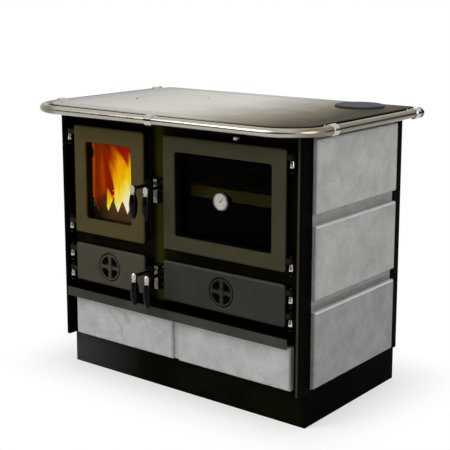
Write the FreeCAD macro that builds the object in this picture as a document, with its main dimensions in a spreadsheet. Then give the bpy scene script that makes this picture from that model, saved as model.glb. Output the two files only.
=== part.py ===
import FreeCAD, Part
import os
import re
import Sketcher

# Soapstone boiler stove: a wood-fired range with a water jacket, an oven and a wood drawer.
# The origin is on the floor, under the middle of the side frames. +X is to the right of someone
# facing the doors, the doors face -Y and +Z is up. All lengths are in millimetres.

SIZES = {
    # carcass
    "wing_span": (900, "width over the two side frames"),
    "wing_depth": (536, "front to back of a side frame"),
    "side_sheet": (13, "thickness of a side frame"),
    "frame_round": (3, "rounding of a side frame's front edges"),
    "hob_height": (850, "floor to cooking surface"),
    "plinth_height": (100, "floor to the underside of the side frames"),
    "plinth_inset": (4, "plinth behind the side frames' outer faces"),
    "plinth_setback": (37, "plinth behind the side frames' front edges"),
    "plinth_rear": (9, "plinth in front of the side frames' rear edges"),
    "plinth_sheet": (3, "plinth sheet thickness"),
    "plinth_lip": (30, "width of the plinth's in-turned top flange"),
    "fascia_setback": (37, "front plate behind the side frames' front edges"),
    "fascia_sheet": (6, "front plate thickness"),
    "rear_inset": (8, "rear panel in front of the side frames' rear edges"),
    "rear_sheet": (2, "rear panel thickness"),
    "bay_height": (172, "clear height of the wood drawer's bay"),
    "deck_sheet": (4, "thickness of the deck over the wood drawer"),
    # soapstone
    "stone_tongue": (10, "thickness of a slab's tongue"),
    "stone_proud": (15, "slab face in front of its tongue"),
    "stone_front": (55, "side frame visible in front of the slabs"),
    "stone_rear": (51, "side frame visible behind the slabs"),
    "stone_base": (13, "lowest side slab above the plinth"),
    "stone_top": (16, "highest side slab below the hob frame"),
    "lower_share": (0.348, "lower slab's share of the stone's height"),
    "middle_share": (0.33, "middle slab's share of the stone's height"),
    "stone_groove": (34.5, "height of the groove between two slabs"),
    "stone_margin": (4, "tongue beyond the outermost slab edges"),
    "stone_chamfer": (4, "bevel round a slab's face"),
    "stone_joint": (0.6, "joint between two tongues"),
    "stone_play": (0.4, "tongue to the edge of its window"),
    # doors
    "mullion_left": (65, "middle of the post between the doors, left of the stove's middle"),
    "mullion_gap": (74, "gap between the left and the right doors"),
    "left_edge": (48, "side frame to the left doors"),
    "right_edge": (32, "side frame to the right doors"),
    "door_drop": (38, "hob frame to the firebox and oven doors"),
    "door_gap": (34, "upper doors to the lower doors"),
    "lower_lift": (22, "deck to the ash and lower doors"),
    "lower_door_height": (120, "ash and lower door height"),
    "door_proud": (8, "door face in front of the side frames' front edges"),
    "door_slab": (16, "door plate thickness"),
    "door_depth": (38, "door face to the back of its skirt"),
    "door_round": (6, "rounding of a door's front edge"),
    "skirt_inset": (8, "skirt inside the door's edge"),
    "skirt_wall": (9, "skirt thickness on the lower doors"),
    "skirt_play": (0.5, "lower doors' skirt to the front plate"),
    "fire_border": (49, "firebox door's edge to its window"),
    "oven_border": (45, "oven door's edge to its window"),
    "window_round": (9, "window corner radius"),
    "glass_recess": (28, "door face to the glass"),
    "glass_sheet": (4, "door glass thickness"),
    "glass_lap": (10, "glass beyond the window's edge"),
    "glass_play": (1, "glass to its recess"),
    "clip_length": (24, "length of a glass clip"),
    "clip_width": (11, "width of a glass clip"),
    "seal_width": (10, "rope seal width"),
    "seal_inset": (12, "rope seal inside the door's edge"),
    "seal_play": (0.3, "rope seal to the front plate"),
    "cavity_inset": (28, "oven and firebox mouths inside the door's edge"),
    "lower_inset": (19, "ash and soot mouths inside the door's edge"),
    # hinges
    "hinge_inset": (20, "hinge axis inside the side frame"),
    "hinge_depth": (14, "hinge axis behind the door face"),
    "hinge_pin_radius": (4, "hinge journal radius"),
    "hinge_collar_radius": (8, "foot of the pin's cone"),
    "hinge_collar": (20, "height of the pin's cone"),
    "bracket_sheet": (8, "hinge bracket thickness"),
    "ear_radius": (9, "round end of a hinge ear"),
    "ear_height": (16, "height of a hinge ear"),
    "ear_low": (24, "lower ear above the door's bottom edge"),
    "ear_high": (15, "upper ear below the door's top edge"),
    "ear_play": (0.3, "ear above the pin's cone"),
    "fit_play": (0.05, "radial running clearance of pins and shafts"),
    # latches
    "latch_out": (12, "latch shaft beyond the door's free edge"),
    "latch_rise": (13, "latch shafts above the doors' middle"),
    "lug_radius": (14, "round end of a latch lug"),
    "shaft_radius": (5, "latch shaft radius"),
    "handle_reach": (57, "door face to the middle of the hand grip"),
    "tongue_height": (12, "height of a latch tongue"),
    "tongue_sheet": (10, "thickness of a latch tongue"),
    "tongue_play": (0.5, "tongue behind the lug"),
    "latch_gap": (0.8, "latch tongue to its keeper"),
    "ferrule_radius": (9, "ferrule radius"),
    "ferrule_top": (9, "ferrule above the shaft's axis"),
    "ferrule_length": (17, "shaft's axis to the ferrule's lower end"),
    "grip_radius": (13, "thickest part of the hand grip"),
    "grip_length": (73, "length of the hand grip"),
    "keeper_width": (16, "latch keeper width"),
    "keeper_reach": (37, "latch keeper in front of the front plate"),
    "keeper_above": (20, "keeper above the latch shaft"),
    "keeper_below": (52, "keeper below the latch shaft"),
    "keeper_flange": (40, "width of the keeper's flange"),
    "keeper_sheet": (4, "thickness of the keeper's flange"),
    # air wheels
    "wheel_radius": (40, "air wheel radius"),
    "wheel_sheet": (6.2, "air wheel thickness"),
    "wheel_recess": (6, "depth of the wheel's recess in the door"),
    "wheel_play": (4, "wheel to the rim of its recess"),
    "wheel_lift": (0.3, "wheel in front of its recess floor"),
    "hole_inner": (13, "wheel window's inner edge from the wheel's axis"),
    "hole_outer": (33.5, "wheel window's outer edge from the wheel's axis"),
    "hole_narrow": (12, "wheel window's width at its inner edge"),
    "hole_wide": (34, "wheel window's width at its outer edge"),
    "hole_corner": (8, "cut corner of a wheel window"),
    "port_inner": (15, "air port's inner edge from the wheel's axis"),
    "port_outer": (32, "air port's outer edge from the wheel's axis"),
    "port_narrow": (6, "air port's width at its inner edge"),
    "port_wide": (10, "air port's width at its outer edge"),
    "port_corner": (2, "cut corner of an air port"),
    "spindle_radius": (4, "air wheel spindle radius"),
    "boss_radius": (10, "air wheel boss radius"),
    "boss_proud": (4, "air wheel boss in front of the wheel"),
    # thermometer
    "stem_radius": (4.8, "thermometer stem radius"),
    "stem_play": (0.2, "stem to the hole in the glass"),
    "neck_radius": (9, "thermometer neck radius"),
    "neck_length": (16, "glass to the thermometer case"),
    "case_radius": (27, "thermometer bezel radius"),
    "case_depth": (18, "thermometer case depth"),
    "dial_radius": (23, "thermometer dial radius"),
    "dial_sheet": (1, "thermometer dial thickness"),
    "dial_recess": (4, "dial plate behind the bezel's front"),
    "needle_length": (20, "needle from its axis to the tip"),
    "needle_tail": (7, "needle from its axis to the tail"),
    "needle_width": (3.2, "needle width"),
    "needle_sheet": (0.8, "needle thickness"),
    "needle_lift": (0.5, "needle in front of the dial"),
    "needle_spindle": (1.5, "needle spindle radius"),
    "needle_lean": (45, "needle from straight up, in degrees"),
    # fire side
    "jacket_wall": (45, "water jacket wall thickness"),
    "jacket_gap": (7, "water jacket to the side frame"),
    "rear_space": (58, "rear panel to the water jacket"),
    "jacket_top": (22, "water jacket below the hob frame"),
    "gas_gap": (62, "fire's way over the jacket's right wall, below the hob frame"),
    "fire_right": (35, "firebox left of the post's middle"),
    "ledge_width": (14, "ledge that carries the grate"),
    "ledge_height": (12, "height of the grate's ledge"),
    "grate_drop": (8, "grate's underside below the upper doors"),
    "grate_sheet": (15, "grate thickness"),
    "grate_play": (1, "grate to the jacket's walls"),
    "grate_slot": (10, "width of a slot in the grate"),
    "grate_pitch": (26, "slot spacing in the grate"),
    "grate_rim": (20, "solid border of the grate"),
    "guard_sheet": (6, "log guard thickness"),
    "guard_setback": (4, "log guard behind the front plate"),
    "guard_base": (53, "log guard's height between its teeth"),
    "guard_tooth": (41, "height of a tooth on the log guard"),
    "pan_play": (3, "ash pan to the sides of its mouth"),
    "pan_runner": (34, "width of the ash pan's runners"),
    "pan_height": (74, "ash pan height"),
    "pan_rear": (36, "ash pan to the jacket's rear wall"),
    "pan_setback": (14, "ash pan behind the front plate"),
    "pan_sheet": (3, "ash pan sheet thickness"),
    "socket_radius": (21, "water socket's outer radius"),
    "socket_bore": (15.15, "water socket's bore, for a 1 inch pipe thread"),
    "socket_depth": (28, "depth of the water socket's bore"),
    "socket_proud": (14, "water socket behind the rear panel"),
    "socket_play": (1, "rear panel's hole round a water socket"),
    "flow_drop": (82, "hob frame to the flow socket's middle"),
    "return_rise": (64, "deck to the return socket's middle"),
    # oven side
    "oven_sheet": (3, "oven and soot box sheet thickness"),
    "oven_rear": (68, "rear panel to the oven's back wall"),
    "soot_rear": (85, "oven's back wall to the soot box's"),
    "rib_width": (10, "width of a tray runner in the oven"),
    "rib_height": (6, "height of a tray runner"),
    "rib_setback": (20, "tray runner behind the front plate and in front of the back wall"),
    "tray_play": (2, "tray's rim to the oven wall"),
    "tray_rim": (14, "width of the tray's rim"),
    "tray_height": (34, "baking tray height"),
    "tray_sheet": (2, "baking tray sheet thickness"),
    "tray_rear": (49, "baking tray to the oven's back wall"),
    "tray_setback": (26, "baking tray behind the front plate"),
    "slot_shift": (31.5, "damper's slot right of the oven door's middle"),
    "slot_drop": (28, "hob frame to the middle of the damper's slot"),
    "slot_length": (54, "length of the damper's slot"),
    "damper_radius": (4, "damper rod radius"),
    "damper_play": (0.3, "damper rod and slider to the front plate"),
    "damper_proud": (14, "damper rod in front of the front plate"),
    "slider_height": (20, "height of the damper's slider"),
    "slider_length": (70, "length of the damper's slider"),
    "slider_sheet": (3, "thickness of the damper's slider"),
    "knob_radius": (9.5, "damper knob radius"),
    # hob
    "hob_side": (32, "hob frame beyond each side frame"),
    "hob_overhang": (64, "hob frame in front of the side frames"),
    "hob_rear": (17, "hob frame behind the side frames' rear edges"),
    "hob_edge": (28, "hob frame thickness"),
    "hob_rear_corner": (12, "hob frame's rear corner radius"),
    "hob_round": (4, "rounding of the hob frame's upper edge"),
    "hob_border": (44, "hob frame's border round the cooking plate"),
    "plate_right": (285, "hob frame right of the cooking plate"),
    "plate_sheet": (12, "cooking plate thickness"),
    "plate_corner": (16, "cooking plate's corner radius"),
    "plate_play": (1.6, "cooking plate to the hob frame"),
    "plate_ledge": (12, "ledge that carries the cooking plate"),
    "lid_left": (206, "cooking plate's left edge to the middle of the round lid"),
    "lid_back": (33.5, "middle of the round lid behind the plate's middle"),
    "lid_radius": (115, "round lid radius"),
    "lid_sheet": (7, "round lid thickness"),
    "lid_play": (1.2, "round lid to the cooking plate"),
    "lid_ledge": (10, "ledge that carries the round lid"),
    "lid_lift": (0.2, "round lid above its ledge"),
    "lid_round": (1, "rounding of the round lid's rim"),
    "lid_notch": (7, "radius of the notch for the lifting hook"),
    "flue_side": (132, "hob frame's right edge to the middle of the flue"),
    "flue_rear": (100, "hob frame's rear edge to the middle of the flue"),
    "flue_radius": (64, "flue radius"),
    "collar_wall": (4, "flue collar thickness"),
    "collar_length": (42, "flue collar below the hob frame"),
    "cap_radius": (74, "flue cap radius"),
    "cap_sheet": (6, "flue cap thickness"),
    "cap_spigot": (10, "flue cap's rim inside the flue"),
    "cap_play": (0.6, "flue cap's rim to the flue"),
    "cap_lift": (0.2, "flue cap above the hob frame"),
    # rail
    "rail_radius": (12.5, "rail tube radius"),
    "rail_wall": (2, "rail tube wall"),
    "rail_gap": (12, "rail tube to the hob frame's edge"),
    "rail_bend": (125, "rail corner radius at the tube's middle"),
    "rail_rear": (22, "rail's ends in front of the hob frame's rear edge"),
    "knuckle_radius": (16.5, "rail knuckle radius"),
    "knuckle_length": (26, "rail knuckle along the tube"),
    "knuckle_bevel": (3, "bevel of a knuckle's ends"),
    "knuckle_stem": (8, "knuckle stem radius"),
    "knuckle_flange": (12, "knuckle flange radius"),
    "knuckle_sheet": (3, "knuckle flange thickness"),
    "knuckle_play": (0.1, "knuckle to the tube"),
    "knuckle_inset": (58, "front knuckle on each side behind the side frame's front edge"),
    "knuckle_end": (25, "rear knuckle on each side in front of the rail's end"),
    "cap_end": (8, "length of the rail's end caps"),
    "cap_brim": (3, "end cap beyond the rail tube"),
    # wood drawer
    "drawer_gap": (7, "drawer front to the side frame"),
    "drawer_sheet": (4, "drawer front thickness"),
    "drawer_low": (3, "drawer front above the plinth"),
    "drawer_high": (2, "drawer front below the deck"),
    "drawer_wall": (2, "drawer box sheet thickness"),
    "drawer_height": (116, "drawer box height"),
    "drawer_rear": (43, "drawer box to the rear panel"),
    "slab_recess": (9, "drawer's stone behind the side frames' front edges"),
    "slab_sheet": (12, "drawer's stone in front of its tongue"),
    "slab_tongue": (8, "thickness of the drawer stone's tongue"),
    "slab_side": (24, "drawer's stone to the side frame"),
    "slab_base": (8, "drawer's stone above the plinth"),
    "slab_height": (126, "height of the drawer's stone"),
    "slab_seam": (24, "groove between the drawer's stones"),
    "grip_side": (17, "grip strip to the side frame"),
    "grip_lift": (4, "grip strip above the stone"),
    "grip_face": (28, "height of the grip strip"),
    "grip_sheet": (4, "grip strip thickness"),
    "grip_proud": (20, "grip strip in front of the side frames"),
    "grip_round": (3, "rounding of the grip strip's upper front edge"),
    "runner_leg": (40, "width and height of a drawer runner"),
    "runner_sheet": (3, "drawer runner thickness"),
    "runner_lift": (9, "drawer runner above the plinth"),
    "runner_play": (0.3, "drawer box above its runners"),
    "box_inset": (5, "drawer box inside the ends of its front"),
}

WHEEL_HOLE_COUNT = 4
GUARD_TOOTH_COUNT = 7
TRAY_LEVEL_COUNT = 3
TRAY_LEVEL_INDEX = 2

# Places and spans that follow from the sizes above.
PLACES = {
    "inner_x": "wing_span / 2 - side_sheet",
    "wing_front": "-wing_depth / 2",
    "carcass_top": "hob_height - hob_edge",
    "fascia_front": "wing_front + fascia_setback",
    "fascia_back": "fascia_front + fascia_sheet",
    "rear_back": "wing_depth / 2 - rear_inset",
    "rear_face": "rear_back - rear_sheet",
    "deck_low": "plinth_height + bay_height",
    "deck_top": "deck_low + deck_sheet",
    "plinth_x": "wing_span / 2 - plinth_inset",
    "plinth_front": "wing_front + plinth_setback",
    "plinth_back": "wing_depth / 2 - plinth_rear",
    "stone_y0": "wing_front + stone_front",
    "stone_y1": "wing_depth / 2 - stone_rear",
    "stone_z0": "plinth_height + stone_base",
    "upper_z1": "carcass_top - stone_top",
    "stone_space": "upper_z1 - stone_z0 - 2 * stone_groove",
    "lower_z1": "stone_z0 + lower_share * stone_space",
    "middle_z0": "lower_z1 + stone_groove",
    "middle_z1": "middle_z0 + middle_share * stone_space",
    "upper_z0": "middle_z1 + stone_groove",
    "mullion_x": "-mullion_left",
    "left_x0": "left_edge - inner_x",
    "left_x1": "mullion_x - mullion_gap / 2",
    "right_x0": "mullion_x + mullion_gap / 2",
    "right_x1": "inner_x - right_edge",
    "lower_door_base": "deck_low + lower_lift",
    "lower_door_top": "lower_door_base + lower_door_height",
    "upper_door_base": "lower_door_top + door_gap",
    "upper_door_top": "carcass_top - door_drop",
    "upper_door_height": "upper_door_top - upper_door_base",
    "door_front": "wing_front - door_proud",
    "slab_back": "door_front + door_slab",
    "skirt_back": "door_front + door_depth",
    "lower_skirt_back": "fascia_front - skirt_play",
    "glass_front": "door_front + glass_recess",
    "glass_back": "glass_front + glass_sheet",
    "hinge_x": "inner_x - hinge_inset",
    "hinge_y": "door_front + hinge_depth",
    "pin_drop": "ear_play + hinge_collar",
    "upper_latch": "dial_z + latch_rise",
    "lower_latch": "rosette_z + latch_rise",
    "latch_left_x": "left_x1 + latch_out",
    "latch_right_x": "right_x0 - latch_out",
    "handle_y": "door_front - handle_reach",
    "tongue_front": "slab_back + tongue_play",
    "tongue_back": "tongue_front + tongue_sheet",
    "tongue_reach": "mullion_gap / 2 - latch_out - keeper_width / 2 - latch_gap",
    "keeper_front": "fascia_front - keeper_reach",
    "rosette_z": "lower_door_base + lower_door_height / 2",
    "ash_wheel_x": "(left_x0 + left_x1) / 2",
    "lower_wheel_x": "(right_x0 + right_x1) / 2",
    "recess_floor": "door_front + wheel_recess",
    "wheel_back": "recess_floor - wheel_lift",
    "dial_x": "(right_x0 + right_x1) / 2",
    "dial_z": "upper_door_base + upper_door_height / 2",
    "dial_floor": "neck_length + case_depth - dial_recess",
    "jacket_x0": "jacket_gap - inner_x",
    "fire_x0": "jacket_x0 + jacket_wall",
    "fire_x1": "mullion_x - fire_right",
    "firebox_width": "fire_x1 - fire_x0",
    "grate_level": "upper_door_base - grate_drop",
    "jacket_x1": "fire_x1 + jacket_wall",
    "jacket_back": "rear_face - rear_space",
    "fire_back": "jacket_back - jacket_wall",
    "pan_level": "lower_door_base + lower_inset",
    "grate_top": "grate_level + grate_sheet",
    "guard_front": "fascia_back + guard_setback",
    "pan_x0": "left_x0 + lower_inset + pan_play",
    "pan_x1": "left_x1 - lower_inset - pan_play",
    "pan_front": "fascia_back + pan_setback",
    "pan_back": "fire_back - pan_rear",
    "socket_x": "(fire_x0 + fire_x1) / 2",
    "socket_end": "rear_back + socket_proud",
    "flow_level": "carcass_top - flow_drop",
    "return_level": "deck_top + return_rise",
    "oven_x0": "right_x0 + cavity_inset",
    "oven_x1": "right_x1 - cavity_inset",
    "oven_z0": "upper_door_base + cavity_inset",
    "oven_z1": "upper_door_top - cavity_inset",
    "oven_back": "rear_face - oven_rear",
    "rib_pitch": f"(oven_z1 - oven_z0) / ({TRAY_LEVEL_COUNT} + 0.6)",
    "soot_x0": "right_x0 + lower_inset",
    "soot_x1": "right_x1 - lower_inset",
    "soot_z0": "lower_door_base + lower_inset",
    "soot_z1": "lower_door_top - lower_inset",
    "soot_back": "oven_back - soot_rear",
    "tray_level": f"oven_z0 + {TRAY_LEVEL_INDEX} * rib_pitch",
    "tray_x0": "oven_x0 + tray_play",
    "tray_x1": "oven_x1 - tray_play",
    "tray_front": "fascia_back + tray_setback",
    "tray_back": "oven_back - tray_rear",
    "slot_x": "dial_x + slot_shift",
    "slot_level": "carcass_top - slot_drop",
    "damper_x": "slot_x + damper_radius + damper_play",
    "hob_x": "wing_span / 2 + hob_side",
    "hob_front": "wing_front - hob_overhang",
    "hob_back": "wing_depth / 2 + hob_rear",
    "plate_x0": "hob_border - hob_x",
    "plate_x1": "hob_x - plate_right",
    "plate_y0": "hob_front + hob_border",
    "plate_y1": "hob_back - hob_border",
    "plate_low": "hob_height - plate_sheet",
    "lid_low": "hob_height - lid_sheet",
    "lid_x": "plate_x0 + lid_left",
    "lid_y": "(plate_y0 + plate_y1) / 2 + lid_back",
    "flue_x": "hob_x - flue_side",
    "flue_y": "hob_back - flue_rear",
    "hob_corner": "rail_bend - rail_gap - rail_radius",
    "rail_z": "hob_height - hob_edge / 2",
    "rail_x": "hob_x + rail_gap + rail_radius",
    "rail_y": "hob_front - rail_gap - rail_radius",
    "knuckle_front": "wing_front + knuckle_inset",
    "rail_end": "hob_back - rail_rear",
    "knuckle_rear": "rail_end - knuckle_end",
    "drawer_x": "inner_x - drawer_gap",
    "slab_face": "wing_front + slab_recess",
    "slab_rear": "slab_face + slab_sheet + slab_tongue",
    "drawer_back": "slab_rear + drawer_sheet",
    "drawer_end": "rear_face - drawer_rear",
    "slab_x": "inner_x - slab_side",
    "slab_z0": "plinth_height + slab_base",
    "slab_z1": "slab_z0 + slab_height",
    "grip_x": "inner_x - grip_side",
    "grip_z0": "slab_z1 + grip_lift",
    "grip_z1": "grip_z0 + grip_face",
    "grip_front": "wing_front - grip_proud",
    "runner_top": "plinth_height + runner_lift + runner_sheet",
    "box_z0": "runner_top + runner_play",
    "box_x": "drawer_x - box_inset",
}

doc = FreeCAD.newDocument("boiler_stove")
sheet = doc.addObject("Spreadsheet::Sheet", "dims")
for row, (alias, (value, note)) in enumerate(SIZES.items(), start=1):
    sheet.set(f"A{row}", alias)
    sheet.set(f"B{row}", str(value))
    sheet.set(f"C{row}", note)
    sheet.setAlias(f"B{row}", alias)
doc.recompute()


def formula(text):
    """Spell a formula of size and place names out on the sheet's cells."""
    def spell(found):
        word = found.group(0)
        if word in SIZES:
            return f"dims.{word}"
        if word in PLACES:
            return f"({formula(PLACES[word])})"
        return word
    return re.sub(r"[a-z_][a-z_0-9]*", spell, str(text))


def number(text):
    """The value of a formula in millimetres."""
    return float(sheet.evalExpression(formula(text)))


def bind(thing, **formulas):
    """Tie properties of an object to formulas; a double underscore stands for a dot."""
    for name, text in formulas.items():
        thing.setExpression(name.replace("__", "."), formula(text))
    return thing


def at(thing, x, y, z):
    """Tie the place of an object to formulas."""
    return bind(thing, Placement__Base__x=x, Placement__Base__y=y, Placement__Base__z=z)


# Solids from primitives

TURNS = {
    "x": FreeCAD.Rotation(FreeCAD.Vector(0, 1, 0), 90),
    "y": FreeCAD.Rotation(FreeCAD.Vector(1, 0, 0), -90),
    "-y": FreeCAD.Rotation(FreeCAD.Vector(1, 0, 0), 90),
    "z": FreeCAD.Rotation(),
}


def block(name, x, y, z):
    """A box between two formulas on each axis."""
    box = doc.addObject("Part::Box", name)
    spans = {"Length": x, "Width": y, "Height": z}
    for side, (low, high) in spans.items():
        box.setExpression(side, formula(f"({high}) - ({low})"))
    return at(box, x[0], y[0], z[0])


def rod(name, way, radius, length, place):
    """A cylinder that starts at a place and runs along an axis."""
    cylinder = doc.addObject("Part::Cylinder", name)
    cylinder.Placement.Rotation = TURNS[way]
    bind(cylinder, Radius=radius, Height=length)
    return at(cylinder, *place)


def fuse(name, *pieces):
    joined = doc.addObject("Part::MultiFuse", name)
    joined.Shapes = list(pieces)
    return joined


def cut(name, base, *tools):
    rest = doc.addObject("Part::Cut", name)
    rest.Base = base
    rest.Tool = tools[0] if len(tools) == 1 else fuse(name + "_tools", *tools)
    return rest


def group(name, *pieces):
    """Separate solids that share one node."""
    compound = doc.addObject("Part::Compound", name)
    compound.Links = list(pieces)
    return compound


def copies(name, master, places):
    """Copies of a master solid at (x, y, z, turn about Z in degrees)."""
    doc.recompute()
    shapes = []
    for x, y, z, turn in places:
        shape = master.Shape.copy()
        shape.rotate(FreeCAD.Vector(0, 0, 0), FreeCAD.Vector(0, 0, 1), turn)
        shape.translate(FreeCAD.Vector(number(x), number(y), number(z)))
        shapes.append(shape)
    feature = doc.addObject("Part::Feature", name)
    feature.Shape = Part.makeCompound(shapes)
    return feature


# Solids from sketches

def new_body(name):
    return doc.addObject("PartDesign::Body", name)


def sketch(body, plane, level, centre=("0", "0")):
    """An empty sketch on one of the body's planes, moved along its normal and in its plane."""
    drawing = body.newObject("Sketcher::SketchObject", f"{body.Name}_sketch")
    support = [part for part in body.Origin.OriginFeatures if part.Role == f"{plane}_Plane"]
    drawing.AttachmentSupport = [(support[0], "")]
    drawing.MapMode = "FlatFace"
    for axis, text in zip("xyz", (*centre, level)):
        drawing.setExpression(f"AttachmentOffset.Base.{axis}", formula(text))
    return drawing


def pin_point(drawing, edge, end, u, v):
    """Hold one end of an edge at two formulas."""
    for kind, text in (("DistanceX", u), ("DistanceY", v)):
        if text is None:
            continue
        rule = Sketcher.Constraint(kind, -1, 1, edge, end, number(text))
        index = drawing.addConstraint(rule)
        drawing.setExpression(f"Constraints[{index}]", formula(text))


def vector(u, v):
    return FreeCAD.Vector(number(u), number(v), 0)


def outline(drawing, corners):
    """A closed outline of straight sides."""
    first = drawing.GeometryCount
    count = len(corners)
    for i, corner in enumerate(corners):
        following = corners[(i + 1) % count]
        drawing.addGeometry(Part.LineSegment(vector(*corner), vector(*following)))
    for i, corner in enumerate(corners):
        following = first + (i + 1) % count
        drawing.addConstraint(Sketcher.Constraint("Coincident", first + i, 2, following, 1))
        pin_point(drawing, first + i, 1, *corner)
    return drawing


def rectangle(drawing, u, v):
    return outline(drawing, [(u[0], v[0]), (u[1], v[0]), (u[1], v[1]), (u[0], v[1])])


def rounded(drawing, u, v, radius):
    """A rectangle with round corners."""
    (u0, u1), (v0, v1), r = u, v, f"({radius})"
    sides = [
        ((f"({u0}) + {r}", v0), (f"({u1}) - {r}", v0)),
        ((u1, f"({v0}) + {r}"), (u1, f"({v1}) - {r}")),
        ((f"({u1}) - {r}", v1), (f"({u0}) + {r}", v1)),
        ((u0, f"({v1}) - {r}"), (u0, f"({v0}) + {r}")),
    ]
    middles = [
        (f"({u1}) - {r}", f"({v0}) + {r}"),
        (f"({u1}) - {r}", f"({v1}) - {r}"),
        (f"({u0}) + {r}", f"({v1}) - {r}"),
        (f"({u0}) + {r}", f"({v0}) + {r}"),
    ]
    first = drawing.GeometryCount
    for start, end in sides:
        drawing.addGeometry(Part.LineSegment(vector(*start), vector(*end)))
    quarter = 1.5707963267948966
    for i, middle in enumerate(middles):
        circle = Part.Circle(vector(*middle), FreeCAD.Vector(0, 0, 1), number(radius))
        drawing.addGeometry(Part.ArcOfCircle(circle, (i - 1) * quarter, i * quarter))
    for i, (start, end) in enumerate(sides):
        arc = first + 4 + i
        following = first + (i + 1) % 4
        pin_point(drawing, first + i, 1, *start)
        pin_point(drawing, first + i, 2, *end)
        drawing.addConstraint(Sketcher.Constraint("Tangent", first + i, 2, arc, 1))
        drawing.addConstraint(Sketcher.Constraint("Coincident", arc, 2, following, 1))
    return drawing


def disc(drawing, u, v, radius):
    edge = drawing.addGeometry(Part.Circle(vector(u, v), FreeCAD.Vector(0, 0, 1), number(radius)))
    pin_point(drawing, edge, 3, u, v)
    index = drawing.addConstraint(Sketcher.Constraint("Radius", edge, number(radius)))
    drawing.setExpression(f"Constraints[{index}]", formula(radius))
    return drawing


def tab(drawing, root, tip, v, radius):
    """A lug along the sketch's first axis, with a round end about its tip."""
    low, high = f"({v}) - {radius}", f"({v}) + {radius}"
    rightward = number(tip) > number(root)
    start, end = (low, high) if rightward else (high, low)
    corners = [(root, end), (root, start), (tip, start), (tip, end)]
    first = drawing.GeometryCount
    for a, b in ((0, 1), (1, 2), (3, 0)):
        drawing.addGeometry(Part.LineSegment(vector(*corners[a]), vector(*corners[b])))
    half = 1.5707963267948966
    circle = Part.Circle(vector(tip, v), FreeCAD.Vector(0, 0, 1), number(radius))
    turn = (-half, half) if rightward else (half, 3 * half)
    drawing.addGeometry(Part.ArcOfCircle(circle, *turn))
    for edge, corner in ((0, 0), (1, 1), (2, 3)):
        pin_point(drawing, first + edge, 1, *corners[corner])
    drawing.addConstraint(Sketcher.Constraint("Coincident", first, 2, first + 1, 1))
    drawing.addConstraint(Sketcher.Constraint("Coincident", first + 2, 2, first, 1))
    drawing.addConstraint(Sketcher.Constraint("Coincident", first + 1, 2, first + 3, 1))
    drawing.addConstraint(Sketcher.Constraint("Coincident", first + 3, 2, first + 2, 1))
    pin_point(drawing, first + 1, 2, *corners[2])
    pin_point(drawing, first + 3, 3, tip, None)
    return drawing


def pad(body, drawing, length, back=False):
    feature = body.newObject("PartDesign::Pad", f"{body.Name}_pad")
    feature.Profile = drawing
    feature.Reversed = back
    bind(feature, Length=length)
    drawing.Visibility = False
    return feature


def pocket(body, drawing, depth, back=False):
    """Cut a sketch out of the body; the cut has to take material away."""
    doc.recompute()
    before = body.Shape.Volume
    feature = body.newObject("PartDesign::Pocket", f"{body.Name}_pocket")
    feature.Profile = drawing
    feature.Reversed = back
    bind(feature, Length=depth)
    doc.recompute()
    if body.Shape.Volume > before - 1e-3:
        raise RuntimeError(f"{feature.Name} cuts nothing")
    return feature


def dress(body, kind, size, picked):
    """Round or bevel the edges of the body that a test picks."""
    doc.recompute()
    base = body.Tip
    names = [f"Edge{i}" for i, edge in enumerate(base.Shape.Edges, start=1) if picked(edge)]
    feature = body.newObject(f"PartDesign::{kind}", f"{body.Name}_{kind.lower()}")
    feature.Base = (base, names)
    bind(feature, **{"Radius" if kind == "Fillet" else "Size": size})
    return feature


def on_level(axis, level):
    """Test for edges that lie in a plane across an axis."""
    height = number(level)
    def picked(edge):
        box = edge.BoundBox
        low, high = getattr(box, axis.upper() + "Min"), getattr(box, axis.upper() + "Max")
        return abs(low - height) < 1e-3 and abs(high - height) < 1e-3
    return picked


def turned(name, profile, way="z", place=("0", "0", "0")):
    """A piece turned about its own axis from (radius, height) corners."""
    body = new_body(name)
    drawing = outline(sketch(body, "XZ", "0"), profile)
    feature = body.newObject("PartDesign::Revolution", f"{name}_turn")
    feature.Profile = drawing
    feature.ReferenceAxis = (drawing, ["V_Axis"])
    feature.Angle = 360
    body.Placement.Rotation = TURNS[way]
    return at(body, *place)


def plate_xz(name, front, back, draw):
    """A plate across Y whose face is drawn by a function on its sketch."""
    body = new_body(name)
    drawing = sketch(body, "XZ", f"-({back})")
    draw(drawing)
    pad(body, drawing, f"({back}) - ({front})")
    return body


def xz(body, y, centre=("0", "0")):
    """A sketch across Y at a level."""
    return sketch(body, "XZ", f"-({y})", centre)


# Carcass

def make_plinth():
    """Folded sheet tray with a flat underside and an in-turned top flange."""
    body = new_body("plinth")
    across, along = ("-plinth_x", "plinth_x"), ("plinth_front", "plinth_back")
    pad(body, rectangle(sketch(body, "XY", "0"), across, along), "plinth_height")
    mouth = rectangle(
        sketch(body, "XY", "plinth_height"),
        ("plinth_lip - plinth_x", "plinth_x - plinth_lip"),
        ("plinth_front + plinth_lip", "plinth_back - plinth_lip"))
    pocket(body, mouth, "plinth_height - plinth_sheet")
    hollow = block(
        "plinth_hollow",
        ("plinth_sheet - plinth_x", "plinth_x - plinth_sheet"),
        ("plinth_front + plinth_sheet", "plinth_back - plinth_sheet"),
        ("plinth_sheet", "plinth_height - plinth_sheet"))
    return cut("plinth_tray", body, hollow)


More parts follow.
